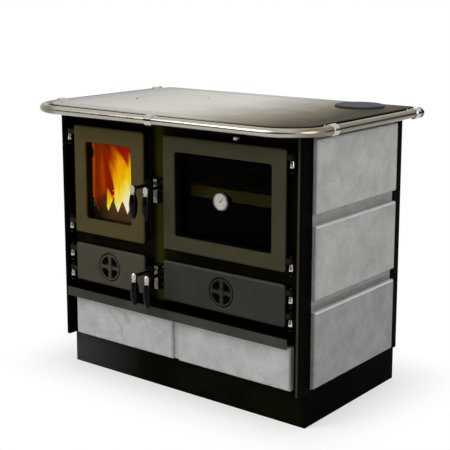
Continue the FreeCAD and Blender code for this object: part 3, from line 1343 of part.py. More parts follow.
def make_runners():
    """Angle runners on the side frames under the drawer box."""
    runners = []
    for word, side in (("left", -1), ("right", 1)):
        wall, inside = f"{side} * inner_x", f"{side} * (inner_x - runner_sheet)"
        edge = f"{side} * (inner_x - runner_leg)"
        low, high = "runner_top - runner_sheet", "runner_top - runner_sheet + runner_leg"
        corners = [(wall, low), (edge, low), (edge, "runner_top"), (inside, "runner_top"), (inside, high), (wall, high)]
        runners.append(plate_xz(f"{word}_runner", "fascia_front", "rear_face", lambda drawing: outline(drawing, corners)))
    return group("drawer_runners", *runners)


def main():
    damper_slider, damper_knob = make_damper()
    flue_collar, flue_cap = make_flue()
    hinge_brackets, hinge_pins = make_hinges()
    case, dial = make_thermometer()
    nodes = {
        "plinth": make_plinth(),
        "left_side_frame": make_side_frame("left_side_frame", -1),
        "right_side_frame": make_side_frame("right_side_frame", 1),
        "front_plate": make_front_plate(),
        "rear_panel": make_rear_panel(),
        "bay_deck": make_deck(),
        "boiler_jacket": make_boiler(),
        "grate": make_grate(),
        "log_guard": make_log_guard(),
        "ash_pan": make_ash_pan(),
        "oven_box": make_oven_box(),
        "baking_tray": make_baking_tray(),
        "soot_box": make_soot_box(),
        "damper_slider": damper_slider,
        "damper_knob": damper_knob,
        "hob_frame": make_hob_frame(),
        "cooking_plate": make_cooking_plate(),
        "hob_lid": make_lid(),
        "flue_collar": flue_collar,
        "flue_cap": flue_cap,
        "rail_tube": make_rail(),
        "rail_knuckles": make_knuckles(),
        "rail_end_caps": make_end_caps(),
        "hinge_brackets": hinge_brackets,
        "hinge_pins": hinge_pins,
        "latch_keepers": make_keepers(),
        "firebox_door": make_window_door(FIRE, "fire_border"),
        "firebox_glass": make_glass(FIRE, "fire_border"),
        "firebox_glass_clips": make_clips(FIRE, "fire_border"),
        "firebox_seal": make_seal(FIRE),
        "oven_door": make_window_door(OVEN, "oven_border"),
        "oven_glass": make_glass(OVEN, "oven_border", ("dial_x", "dial_z", "stem_radius + stem_play")),
        "oven_glass_clips": make_clips(OVEN, "oven_border"),
        "oven_seal": make_seal(OVEN),
        "ash_door": make_wheel_door(ASH, "ash_wheel_x"),
        "ash_air_wheel": make_air_wheel("ash_air_wheel", "ash_wheel_x"),
        "lower_door": make_wheel_door(LOWER, "lower_wheel_x"),
        "lower_air_wheel": make_air_wheel("lower_air_wheel", "lower_wheel_x"),
        "thermometer_case": case,
        "thermometer_dial": dial,
        "thermometer_needle": make_needle(),
        "drawer_box": make_drawer_box(),
        "drawer_left_stone": make_drawer_stone("drawer_left_stone", -1),
        "drawer_right_stone": make_drawer_stone("drawer_right_stone", 1),
        "drawer_grip": make_drawer_grip(),
        "drawer_runners": make_runners(),
    }
    for stone in make_side_stones():
        nodes[stone.Name] = stone
    for door in DOORS:
        nodes[f"{door.name}_lever"] = make_lever(door)
        nodes[f"{door.name}_grip"] = make_grip(door)
    doc.recompute()
    for thing in doc.Objects:
        if "Invalid" in thing.State or "Error" in thing.State:
            raise RuntimeError(f"{thing.Name} failed: {thing.State}")
    for name, thing in nodes.items():
        if thing.Shape.isNull() or not thing.Shape.isValid() or not thing.Shape.Solids:
            raise RuntimeError(f"{name} has no valid solid")
        thing.Label = name
    os.makedirs("parts", exist_ok=True)
    for name, thing in nodes.items():
        thing.Shape.exportStep(f"parts/{name}.step")


main()
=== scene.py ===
import math
import random

import bmesh
import bpy
from mathutils import Matrix, Vector, noise


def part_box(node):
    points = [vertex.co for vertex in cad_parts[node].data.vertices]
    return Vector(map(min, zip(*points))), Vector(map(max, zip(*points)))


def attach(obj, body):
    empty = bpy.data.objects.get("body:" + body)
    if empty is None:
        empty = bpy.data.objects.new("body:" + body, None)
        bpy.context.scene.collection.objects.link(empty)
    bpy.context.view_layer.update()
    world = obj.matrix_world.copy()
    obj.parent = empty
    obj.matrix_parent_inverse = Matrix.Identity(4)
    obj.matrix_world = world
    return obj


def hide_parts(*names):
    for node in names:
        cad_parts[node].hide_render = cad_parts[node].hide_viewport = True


bl_info = {
    "name": "Soapstone Boiler Stove",
    "version": (1, 0, 0),
    "blender": (4, 5, 0),
    "location": "View3D > Sidebar > Stove",
    "description": "Finishes, fire, dial and studio for a soapstone boiler stove",
    "category": "Object",
}

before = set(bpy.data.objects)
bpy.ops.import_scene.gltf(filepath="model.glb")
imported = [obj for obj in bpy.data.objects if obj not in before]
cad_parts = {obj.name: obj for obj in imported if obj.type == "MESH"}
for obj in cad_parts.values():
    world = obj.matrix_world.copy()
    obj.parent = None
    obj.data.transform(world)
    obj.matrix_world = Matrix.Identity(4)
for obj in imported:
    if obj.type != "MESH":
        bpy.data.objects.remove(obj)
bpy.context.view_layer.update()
MM = 0.001

# Points of a CAD mesh that are nearer than this are one.
TOUCH = 0.01 * MM

# The doors' corners: rounding of the outline and of the front edge, and the slants of the cuts, in degrees.
DOOR_ROUND = 10 * MM
DOOR_EDGE = 6 * MM
DOOR_CUTS = (9, 27, 45, 63, 81)

# Each door's paint, and how strongly its upper and left edges are painted lighter as a highlight.
DOORS = (
    ("firebox", "4a4226", 0.0), ("oven", "3d3b29", 0.0), ("ash", "444236", 0.25), ("lower", "32332d", 0.9),
)

# A side slab's face in front of its tongue, the step from one slab's cut of stone to the next, and for each
# kind of slab its tone and the strength of its veins. The tones are painted light and shade: the front drawer
# slabs are painted lighter and bluer, the lower side slabs darker.
STONE_PROUD = 15 * MM
STONE_STEP = (0.37, 0.61, 0.23)
STONE_KINDS = {
    "drawer": ((1.28, 1.33, 1.45), 0.36),
    "lower": ((0.68, 0.68, 0.69), 0.2),
    "middle": ((0.94, 0.94, 0.94), 0.2),
    "upper": ((1.0, 1.0, 1.0), 0.2),
}

# The painted highlight on a hinge pin: its middle above a door's lower edge and below its upper edge, and
# half its length.
PIN_HIGHLIGHT_LEVELS = (14 * MM, 41 * MM)
PIN_HIGHLIGHT_HALF = 9 * MM

# The hob: how far its stains shift the tints, where its shine begins to go and is gone along x, and the
# tints of the frame and of the plate at millimetres along x: partly heat tint, partly painted reflection.
HOB_DRIFT = 0.12
HOB_BURN = (0.02, 0.38)
HOB_FRAME_REFLECTION_TINTS = (
    (-480, "85837b"), (-330, "9c988d"), (-60, "a9a498"), (60, "a8a294"), (200, "898172"), (280, "756c5a"),
    (430, "3a3529"),
)
HOB_PLATE_REFLECTION_TINTS = (
    (-440, "96948c"), (-300, "aeaba1"), (-100, "bebbb0"), (30, "b5b1a5"), (130, "9a9486"), (200, "898172"),
)

# The firebox wall from the window to the back: where each colour begins and is full, in millimetres along y,
# how much of it shows, and the colour; the red is the fire's glow, painted on.
WALL_DEPTHS = ((-215, -130, 0.92, "4c0a02"), (-20, 120, 0.9, "24140a"), (200, 210, 1.0, "565654"))

# The logs: place over the grate, turn in degrees, radius and length, in millimetres.
LOGS = (
    (-330, -90, 24, 78, 34, 210), (-255, -60, 28, 95, 38, 230), (-175, -80, 24, 84, 33, 220),
    (-285, -70, 76, 40, 30, 200), (-200, -60, 80, 120, 28, 190),
)

# The seed of the logs' knots and of the flames at the back.
FIRE_SEED = 5

# The flames nearest the window: foot x and y, share of the full height, width and lean, in millimetres.
FLAMES = (
    (-226, -178, 0.74, 46, -34), (-244, -186, 0.86, 44, -96), (-258, -176, 0.94, 40, -112),
    (-264, -188, 0.88, 32, -106), (-290, -182, 0.46, 24, -22), (-329, -184, 0.36, 19, -4),
    (-204, -170, 0.72, 46, -26), (-180, -172, 0.66, 44, -10), (-150, -168, 0.54, 38, 6),
)

# The flames' feet above the grate, the level above it where they are coolest, and the x of their hot core.
FLAME_FOOT = 12 * MM
FLAME_TOP = 0.42
FLAME_CORE = -0.25

# The way from the fire to the middle of its window, along which a flame has its full depth.
FLAME_FRONT = Vector((0.475, -0.88))

# The dial: its sweep in degrees, the ticks from one number to the next, the steps from the first tick to the
# last, and the degrees of heat to a step.
DIAL_SWEEP = 270
DIAL_GROUP = 10
DIAL_STEPS = 50
DIAL_HEAT = 10

# The floor's shadow: how far it reaches from the plinth, and how white the paper stays beside the plinth.
SHADOW_REACH = 0.26
SHADOW_WHITE = 0.46

# The camera: place, tilt below the horizon, turn, and focal length and picture width in pixels.
CAMERA_PLACE = (1.976, -2.548, 1.221)
CAMERA_TILT = 10.66
CAMERA_TURN = 37.98
CAMERA_FOCUS = 1065.3
PICTURE_WIDTH = 450


# Colour, scale and node helpers

def linear(code):
    """An sRGB hex colour as linear red, green, blue and alpha."""
    parts = [int(code[i:i + 2], 16) / 255 for i in (0, 2, 4)]
    return tuple(p / 12.92 if p <= 0.04045 else ((p + 0.055) / 1.055) ** 2.4 for p in parts) + (1.0,)


def scaled(colour, shares):
    """A colour with its red, green and blue each made lighter or darker."""
    return tuple(part * share for part, share in zip(colour, shares)) + (1.0,)


def grey(value):
    """A ramp stop's colour where only its brightness counts."""
    return (value, value, value, 1.0)


def per_mm(size):
    """The scale of a pattern whose features are about that many millimetres wide."""
    return 1.0 / (size * MM)


def middle(name):
    """The middle of a CAD node's box."""
    low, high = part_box(name)
    return (Vector(low) + Vector(high)) / 2


def add(tree, kind, inputs=None, stops=None, **settings):
    """Add a shader node with its settings, its ramp's stops and its inputs.

    An input is a value, a hex colour, a socket, or a node, which stands for its first output in use.
    """
    made = tree.nodes.new(f"ShaderNode{kind}")
    inputs = dict(inputs or {})
    for name, value in settings.items():
        if name[0].islower():
            setattr(made, name, value)
        else:
            inputs[name.replace("_", " ")] = value
    if stops:
        stops = [(place, linear(tone) if isinstance(tone, str) else tone) for place, tone in stops]
        band = made.color_ramp.elements
        for element, (place, tone) in ((band[0], stops[0]), (band[-1], stops[-1])):
            element.position = place
            element.color = tone
        for place, tone in stops[1:-1]:
            band.new(place).color = tone
    for name, source in inputs.items():
        if isinstance(source, bpy.types.Node):
            source = next(output for output in source.outputs if output.enabled)
        if isinstance(source, bpy.types.NodeSocket):
            tree.links.new(source, made.inputs[name])
        else:
            made.inputs[name].default_value = linear(source) if isinstance(source, str) else source
    return made


def begin(name):
    """Start a material: its node tree and the object's own coordinates."""
    made = bpy.data.materials.new(name)
    made.use_nodes = True
    made.node_tree.nodes.clear()
    return made, made.node_tree, add(made.node_tree, "TexCoord").outputs["Object"]


def end(made, **settings):
    """End a material with its shader and its output."""
    shader = add(made.node_tree, "BsdfPrincipled", **settings)
    add(made.node_tree, "OutputMaterial", Surface=shader)
    return made


def fade(tree, where, tone, axis, start, full, colour, centre=None, most=1.0):
    """Let a tone go over to a colour along an axis, or along the way out from a centre on it."""
    along = add(tree, "SeparateXYZ", Vector=where).outputs[axis]
    if centre is not None:
        off = add(tree, "Math", {0: along, 1: centre}, operation="SUBTRACT")
        along = add(tree, "Math", {0: off}, operation="ABSOLUTE")
    share = add(tree, "MapRange", Value=along, From_Min=start, From_Max=full, To_Max=most)
    return add(tree, "Mix", {0: share, 6: tone, 7: colour}, data_type="RGBA")


def mottled(name, size, detail, shades=None, rough=None, **settings):
    """A material in which one noise, with features of a size in millimetres, sets tone and roughness."""
    made, tree, where = begin(name)
    cloud = add(tree, "TexNoise", Vector=where, Scale=per_mm(size), Detail=detail)
    if shades is not None:
        settings["Base_Color"] = add(tree, "ValToRGB", Fac=cloud, stops=shades)
    if rough is not None:
        settings["Roughness"] = add(tree, "MapRange", Value=cloud, To_Min=rough[0], To_Max=rough[1])
    return end(made, **settings)


def seen(tree):
    """Whether a ray comes from the camera, a mirror or glass."""
    path = add(tree, "LightPath").outputs
    plain = add(tree, "Math", {0: path["Is Camera Ray"], 1: path["Is Glossy Ray"]}, operation="MAXIMUM")
    return add(tree, "Math", {0: plain, 1: path["Is Transmission Ray"]}, operation="MAXIMUM")


# Materials

def soapstone(name, look, shift, tone, vein, tongue=None):
    # Honed soapstone: soft grey clouds, fine talc flecks and a few thin veins, almost no gloss.
    # Where a slab has a tongue, the groove is painted dark as shade, and edges facing up pale as a highlight.
    made, tree, where = begin(name)
    laid = add(tree, "Mapping", Vector=where, Location=shift)
    cloud = add(tree, "TexNoise", Vector=laid, Scale=per_mm(70), Detail=9.0, Roughness=0.66)
    # The slab's tone scales its clouds: painted light and shade by kind of slab.
    body = add(tree, "ValToRGB", Fac=cloud,
               stops=[(0.22, scaled(look.stone_dark, tone)), (0.78, scaled(look.stone_light, tone))])
    fleck = add(tree, "TexNoise", Vector=laid, Scale=per_mm(5), Detail=5.0, Roughness=0.7)
    speck = add(tree, "ValToRGB", Fac=fleck, stops=[(0.36, grey(0.84)), (0.6, grey(1.0))])
    skin = add(tree, "Mix", {6: body, 7: speck}, data_type="RGBA", blend_type="MULTIPLY", Factor=0.8)
    line = add(tree, "TexNoise", Vector=laid, Scale=per_mm(300), Detail=3.0, Roughness=0.45, Distortion=0.5)
    away = add(tree, "Math", {0: line, 1: 0.5}, operation="SUBTRACT")
    near = add(tree, "Math", {0: away}, operation="ABSOLUTE")
    thread = add(tree, "ValToRGB", Fac=near, stops=[(0.0, grey(vein)), (0.005, grey(0.0))])
    skin = add(tree, "Mix", {0: thread, 6: skin, 7: tuple(look.stone_vein)}, data_type="RGBA")
    if tongue is not None:
        across = add(tree, "SeparateXYZ", Vector=where).outputs["X"]
        aside = add(tree, "Math", {0: across}, operation="ABSOLUTE")
        # The groove along the tongue is painted darker: painted shade.
        sunk = add(tree, "MapRange", Value=aside, From_Min=tongue + 3 * MM, From_Max=tongue + 1 * MM)
        skin = add(tree, "Mix", {0: sunk, 6: skin, 7: grey(0.64)}, data_type="RGBA", blend_type="MULTIPLY")
        # Faces that point up are painted pale: a painted highlight.
        normal = add(tree, "TexCoord").outputs["Normal"]
        skin = fade(tree, normal, skin, "Z", 0.2, 0.6, "bcbcb8")
    rough = add(tree, "MapRange", Value=fleck, To_Min=0.5, To_Max=0.72)
    bump = add(tree, "Bump", Height=fleck, Strength=0.3, Distance=0.5 * MM)
    return end(made, Base_Color=skin, Roughness=rough, Normal=bump, IOR=1.58, Specular_IOR_Level=0.25)


def stove_paint(name, dark, light, rough, shine=0.02, *fades):
    # Sprayed heat-proof paint on sheet steel: a fine orange peel and a faint cloudiness, and fades to other
    # colours that paint in light and shade: highlights, reflections, sheen and shadow.
    made, tree, where = begin(name)
    cloud = add(tree, "TexNoise", Vector=where, Scale=per_mm(120), Detail=4.0)
    tone = add(tree, "ValToRGB", Fac=cloud, stops=[(0.35, dark), (0.7, light)])
    for other in fades:
        tone = fade(tree, where, tone, *other)
    peel = add(tree, "TexNoise", Vector=where, Scale=per_mm(1.6), Detail=2.0)
    gloss = add(tree, "MapRange", Value=cloud, To_Min=rough - 0.06, To_Max=rough + 0.1)
    bump = add(tree, "Bump", Height=peel, Strength=0.16, Distance=0.12 * MM)
    return end(made, Base_Color=tone, Roughness=gloss, Normal=bump, IOR=1.5, Specular_IOR_Level=shine)


def casting(name, dark, light, rough, face=None, grain=2.4, soft=2 * MM, edge_highlight=0.0):
    # Sand-cast iron under thin matte paint: a pebbled skin, with tone that drifts over the casting.
    # Rounded edges; those that face up and left may be painted lighter as a highlight, and behind the face
    # all is painted black as shade.
    made, tree, where = begin(name)
    cloud = add(tree, "TexNoise", Vector=where, Scale=per_mm(75), Detail=5.0, Roughness=0.6)
    tone = add(tree, "ValToRGB", Fac=cloud, stops=[(0.3, dark), (0.72, light)])
    sand = add(tree, "TexNoise", Vector=where, Scale=per_mm(grain), Detail=4.0, Roughness=0.6)
    pits = add(tree, "ValToRGB", Fac=sand, stops=[(0.3, grey(0.72)), (0.55, grey(1.0))])
    skin = add(tree, "Mix", {6: tone, 7: pits}, data_type="RGBA", blend_type="MULTIPLY", Factor=0.6)
    rounded = add(tree, "Bevel", Radius=soft)
    # Edges that face up and left, towards the light, are painted lighter: a painted highlight.
    if edge_highlight > 0.0:
        tilt = add(tree, "VectorMath", {0: rounded, 1: (-0.5, 0.0, 0.85)}, operation="DOT_PRODUCT")
        painted_edge_highlight = add(tree, "MapRange", Value=tilt, From_Min=0.04, From_Max=0.4, To_Max=edge_highlight)
        skin = add(tree, "Mix", {0: painted_edge_highlight, 6: skin, 7: scaled(light, (1.9, 1.9, 1.9))}, data_type="RGBA")
    # Behind the front face the casting is painted black: painted shade on its sides.
    if face is not None:
        skin = fade(tree, where, skin, "Y", face + 1 * MM, face + 6 * MM, "050504")
    gloss = add(tree, "MapRange", Value=sand, To_Min=rough - 0.08, To_Max=rough + 0.1)
    bump = add(tree, "Bump", Height=sand, Normal=rounded, Strength=0.4, Distance=0.3 * MM)
    return end(made, Base_Color=skin, Roughness=gloss, Normal=bump, IOR=1.5, Specular_IOR_Level=0.05)


def air_wheel(name, paint, centre):
    # Painted cast wheel: spokes, hub and rim keep their grey, and the quarters round the air holes are
    # painted near black as shade.
    made, tree, where = begin(name)
    flat = add(tree, "Mapping", Vector=where, Location=(-centre.x, 0.0, -centre.z), Scale=(1.0, 0.0, 1.0))
    place = add(tree, "SeparateXYZ", Vector=flat).outputs
    across = add(tree, "Math", {0: place["X"]}, operation="ABSOLUTE")
    up = add(tree, "Math", {0: place["Z"]}, operation="ABSOLUTE")
    off = add(tree, "Math", {0: across, 1: up}, operation="MINIMUM")
    reach = add(tree, "VectorMath", {0: flat}, operation="LENGTH")
    quarter = add(tree, "MapRange", Value=off, From_Min=3.5 * MM, From_Max=8 * MM)
    hub = add(tree, "MapRange", Value=reach, From_Min=10 * MM, From_Max=13 * MM)
    rim = add(tree, "MapRange", Value=reach, From_Min=36 * MM, From_Max=34 * MM)
    # The quarters between spokes, hub and rim are painted near black: painted shade round the air holes.
    field = add(tree, "Math", {0: quarter, 1: hub}, operation="MULTIPLY")
    quarter_shade = add(tree, "Math", {0: field, 1: rim}, operation="MULTIPLY")
    grain = add(tree, "TexNoise", Vector=where, Scale=per_mm(2.4), Detail=4.0)
    dark = scaled(linear(paint), (0.7, 0.7, 0.7))
    coat = add(tree, "ValToRGB", Fac=grain, stops=[(0.3, dark), (0.7, paint)])
    tone = add(tree, "Mix", {0: quarter_shade, 6: coat, 7: "060604"}, data_type="RGBA")
    rough = add(tree, "MapRange", Value=grain, To_Min=0.45, To_Max=0.65)
    bump = add(tree, "Bump", Height=grain, Strength=0.3, Distance=0.4 * MM)
    return end(made, Base_Color=tone, Roughness=rough, Normal=bump, IOR=1.5, Specular_IOR_Level=0.05)


def chrome_plate(name, tone="d6d7d9", smear=0.14, end_reflection=None):
    # Polished chrome plate: a mirror with faint hand smears, and it may be painted darker and browner towards
    # its ends as a painted reflection.
    made, tree, where = begin(name)
    hand = add(tree, "TexNoise", Vector=where, Scale=per_mm(35), Detail=3.0)
    if end_reflection is not None:
        tone = fade(tree, where, tone, *end_reflection)
    gloss = add(tree, "MapRange", Value=hand, To_Min=smear * 0.35, To_Max=smear)
    return end(made, Base_Color=tone, Roughness=gloss, Metallic=1.0)


def hob_steel(name, reflection_tints, top):
    # Ground hob steel: long fine scratches; tints from left to right, light at the left and dark brown
    # towards the flue, partly heat tint and partly painted reflection; the metal shine giving way towards the
    # flue, and black edges below the top.
    made, tree, where = begin(name)
    stain = add(tree, "TexNoise", Vector=where, Scale=per_mm(170), Detail=5.0, Roughness=0.55, Distortion=0.4)
    place = add(tree, "SeparateXYZ", Vector=where).outputs
    drift = add(tree, "Math", {0: stain, 1: HOB_DRIFT, 2: place["X"]}, operation="MULTIPLY_ADD")
    along = add(tree, "MapRange", Value=drift, From_Min=HOB_DRIFT / 2 - 0.5, From_Max=HOB_DRIFT / 2 + 0.5)
    # The tints along x are partly heat tint and partly painted reflection.
    reflection_tint = add(tree, "ValToRGB", Fac=along, stops=[(x * MM + 0.5, code) for x, code in reflection_tints])
    edge = add(tree, "MapRange", Value=place["Z"], From_Min=top - 1 * MM, From_Max=top - 4 * MM)
    tone = add(tree, "Mix", {0: edge, 6: reflection_tint, 7: "0c0a07"}, data_type="RGBA")
    spread = add(tree, "MapRange", Value=along, interpolation_type="SMOOTHSTEP",
                 From_Min=HOB_BURN[0] + 0.5, From_Max=HOB_BURN[1] + 0.5)
    burn = add(tree, "Math", {0: spread, 1: edge}, operation="MAXIMUM")
    gleam = add(tree, "MapRange", Value=burn, To_Min=1.0, To_Max=0.0)
    gloss = add(tree, "MapRange", Value=stain, To_Min=0.24, To_Max=0.42)
    drawn = add(tree, "Mapping", Vector=where, Scale=(0.04, 1.0, 1.0))
    scratch = add(tree, "TexNoise", Vector=drawn, Scale=per_mm(1.4), Detail=3.0)
    bump = add(tree, "Bump", Height=scratch, Strength=0.1, Distance=0.05 * MM)
    return end(made, Base_Color=tone, Metallic=gleam, Roughness=gloss, Normal=bump, Specular_IOR_Level=0.002)


def blued_steel(name, dark, light, rough=0.3):
    # Oil-blued steel: dark, with a little warmth where the film is thin.
    return mottled(name, 9, 4.0, [(0.3, dark), (0.7, light)], (rough - 0.08, rough + 0.12), Metallic=1.0)


def sheet_steel(name):
    # Plain rolled sheet, lightly scuffed.
    return mottled(name, 22, 5.0, [(0.3, "6d6e70"), (0.7, "8f9092")], (0.3, 0.5), Metallic=1.0)


def bakelite(name):
    # Moulded black resin: deep gloss with a little wear from hands.
    return mottled(name, 12, 4.0, [(0.35, "020202"), (0.75, "080705")], (0.12, 0.24), IOR=1.6,
                   Specular_IOR_Level=0.06)


def dial_face(name):
    # Baked white enamel on the dial plate, a little uneven.
    return mottled(name, 14, 3.0, [(0.3, "928c7f"), (0.7, "a59f92")], IOR=1.5, Roughness=0.35)


def print_ink(name):
    # Printed black ink, slightly broken.
    return mottled(name, 0.6, 2.0, [(0.3, "0c0c0c"), (0.7, "1e1e1e")], IOR=1.5, Roughness=0.6)


def door_glass(name, through):
    # Glass ceramic: black from outside, and only bright things behind it show.
    return mottled(name, 60, 3.0, rough=(0.02, 0.07), Base_Color="000000", IOR=1.54, Specular_IOR_Level=0.015,
                   Alpha=1.0 - through)


def clear_lens(name):
    # Thin clear lens over the dial.
    return mottled(name, 8, 2.0, rough=(0.02, 0.08), Base_Color="f4f6f6", IOR=1.5, Alpha=0.12)


def rope(name):
    # Braided glass-fibre rope: slanting strands about 3 mm wide, as a wave repeats three times in its scale.
    made, tree, where = begin(name)
    lay = add(tree, "Mapping", Vector=where, Rotation=(0.0, math.radians(45), 0.0))
    braid = add(tree, "TexWave", Vector=lay, Scale=per_mm(20), Distortion=0.6).outputs["Fac"]
    tone = add(tree, "ValToRGB", Fac=braid, stops=[(0.1, "24241f"), (0.8, "4a4940")])
    bump = add(tree, "Bump", Height=braid, Strength=0.6, Distance=0.8 * MM)
    return end(made, Base_Color=tone, Normal=bump, Roughness=0.9, IOR=1.5, Sheen_Weight=0.3)


def latch_steel(name, split, bright="b0a9a1"):
    # One bar: blued steel on its shaft and tongue, chrome on the ferrule in front of the split.
    made, tree, where = begin(name)
    depth = add(tree, "SeparateXYZ", Vector=where).outputs["Y"]
    front = add(tree, "Math", {0: depth, 1: split}, operation="LESS_THAN")
    tone = add(tree, "Mix", {0: front, 6: "2a2927", 7: bright}, data_type="RGBA")
    gloss = add(tree, "MapRange", Value=front, To_Min=0.32, To_Max=0.1)
    return end(made, Base_Color=tone, Roughness=gloss, Metallic=1.0)


def hinge_pin(name, levels):
    # Turned steel pin: painted bright and a little coppery at given levels as a highlight, and dark blued
    # steel elsewhere, painted darker as shade.
    made, tree, where = begin(name)
    height = add(tree, "SeparateXYZ", Vector=where).outputs["Z"]
    gleam = 0.0
    for level in levels:
        # Each band is painted bright as a highlight; the rest stays dark, painted shade.
        band = add(tree, "Math", {0: height, 1: level, 2: PIN_HIGHLIGHT_HALF}, operation="COMPARE")
        gleam = add(tree, "Math", {0: gleam, 1: band}, operation="MAXIMUM")
    film = add(tree, "TexNoise", Vector=where, Scale=per_mm(6), Detail=3.0)
    steel = add(tree, "ValToRGB", Fac=film, stops=[(0.3, "8d7263"), (0.6, "dcd2ca")])
    tone = add(tree, "Mix", {0: gleam, 6: "1c1a17", 7: steel}, data_type="RGBA")
    gloss = add(tree, "MapRange", Value=film, To_Min=0.18, To_Max=0.34)
    return end(made, Base_Color=tone, Roughness=gloss, Metallic=1.0)


def firebox_wall(name):
    # Sooty boiler wall, streaked from top to bottom: orange brown at the window, partly burnt steel and
    # partly painted firelight; red further in, painted glow of the fire; black with soot at the back, and
    # bare grey steel on the sockets behind it.
    made, tree, where = begin(name)
    drawn = add(tree, "Mapping", Vector=where, Scale=(1.0, 1.0, 0.08))
    streak = add(tree, "TexNoise", Vector=drawn, Scale=per_mm(24), Detail=4.0, Roughness=0.6)
    # The orange brown streaks are partly painted firelight.
    tone = add(tree, "ValToRGB", Fac=streak, stops=[(0.3, "3a1c04"), (0.5, "7a4c0e"), (0.7, "b07c20")])
    # The red band is painted glow of the fire.
    for start, full, most, colour in WALL_DEPTHS:
        tone = fade(tree, where, tone, "Y", start * MM, full * MM, colour, most=most)
    bump = add(tree, "Bump", Height=streak, Strength=0.5, Distance=2 * MM)
    return end(made, Base_Color=tone, Normal=bump, IOR=1.5, Roughness=0.85, Specular_IOR_Level=0.1)


def flame(name, strength, low):
    # Burning wood gas: white where it is hottest, yellow and orange higher up and to the left of the core,
    # broken into streaks that thin to nothing at the edges, where the gas has little depth.
    made, tree, where = begin(name)
    place = add(tree, "SeparateXYZ", Vector=where).outputs
    rise = add(tree, "MapRange", Value=place["Z"], From_Min=low, From_Max=low + FLAME_TOP)
    aside = add(tree, "MapRange", Value=place["X"], From_Min=FLAME_CORE, From_Max=FLAME_CORE - 0.1,
                To_Max=0.32)
    drawn = add(tree, "Mapping", Vector=where, Scale=(1.0, 1.0, 0.2))
    streak = add(tree, "TexNoise", Vector=drawn, Scale=per_mm(22), Detail=4.0, Distortion=0.6)
    lift = add(tree, "Math", {0: streak, 1: 0.5, 2: rise}, operation="MULTIPLY_ADD")
    cool = add(tree, "Math", {0: lift, 1: aside}, operation="ADD")
    heat = add(tree, "ValToRGB", Fac=cool, stops=[
        (0.42, "fffce6"), (0.54, "fff278"), (0.66, "ffd90e"), (0.82, "fa9e04"), (1.0, "c84a02")])
    thin = add(tree, "ValToRGB", Fac=cool, stops=[(0.64, grey(0.95)), (0.85, grey(0.6)), (1.0, grey(0.1))])
    depth = add(tree, "Attribute", attribute_name="depth").outputs["Fac"]
    frayed = add(tree, "Math", {0: streak, 1: 0.8, 2: depth}, operation="MULTIPLY_ADD")
    body = add(tree, "MapRange", Value=frayed, interpolation_type="SMOOTHSTEP", From_Min=0.5, From_Max=1.15)
    veil = add(tree, "Math", {0: thin, 1: body}, operation="MULTIPLY")
    return end(made, Base_Color="000000", Roughness=1.0, Specular_IOR_Level=0.0, Alpha=veil,
               Emission_Color=heat, Emission_Strength=strength)


def charred_wood(name, strength):
    # Burning log: cracked black char with embers glowing in the cracks.
    made, tree, where = begin(name)
    crack = add(tree, "TexVoronoi", Vector=where, feature="DISTANCE_TO_EDGE", Scale=per_mm(17))
    ash = add(tree, "TexNoise", Vector=where, Scale=per_mm(9), Detail=4.0)
    tone = add(tree, "ValToRGB", Fac=ash, stops=[(0.35, "0e0b09"), (0.75, "4d453f")])
    glow = add(tree, "MapRange", Value=crack, From_Max=0.12, To_Min=strength, To_Max=0.0)
    bump = add(tree, "Bump", Height=crack, Strength=0.8, Distance=3 * MM)
    return end(made, Base_Color=tone, Normal=bump, IOR=1.45, Roughness=0.95, Emission_Color="ff5a0a",
               Emission_Strength=glow)


# Pieces

def dress(material, *names):
    """Give CAD nodes their finish."""
    for name in names:
        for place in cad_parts[name].material_slots:
            place.material = material


def shown(name, mesh, material):
    """Turn a bmesh into an object of the scene."""
    data = bpy.data.meshes.new(name)
    mesh.to_mesh(data)
    mesh.free()
    data.materials.append(material)
    made = bpy.data.objects.new(name, data)
    bpy.context.scene.collection.objects.link(made)
    return made


def piece(name, mesh, body, material):
    """Turn a bmesh into a piece that rides on a body."""
    made = shown(name, mesh, material)
    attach(made, body)
    return made


def cut_off(mesh, geom, place, way):
    """Cut off what lies beyond a plane and close the cut."""
    cut = bmesh.ops.bisect_plane(mesh, geom=geom, plane_co=place, plane_no=way, clear_outer=True)
    rim = [item for item in cut["geom_cut"] if isinstance(item, bmesh.types.BMEdge)]
    bmesh.ops.holes_fill(mesh, edges=rim)


def screw(mesh, place, way, radius):
    """A round-headed screw with a hollow, headed along a direction."""
    height = radius * 0.6
    turn = Vector((0, 0, 1)).rotation_difference(way).to_matrix().to_4x4()
    spot = Matrix.Translation(place + way * height / 2) @ turn
    made = bmesh.ops.create_cone(
        mesh, cap_ends=True, segments=18, radius1=radius, radius2=radius * 0.72, depth=height, matrix=spot)
    top = max({face for vert in made["verts"] for face in vert.link_faces},
              key=lambda face: face.calc_center_median().dot(way))
    bmesh.ops.inset_region(mesh, faces=[top], thickness=radius * 0.3)
    sunk = bmesh.ops.extrude_discrete_faces(mesh, faces=[top])
    bmesh.ops.translate(mesh, verts=list(sunk["faces"][0].verts), vec=-way * height * 0.5)


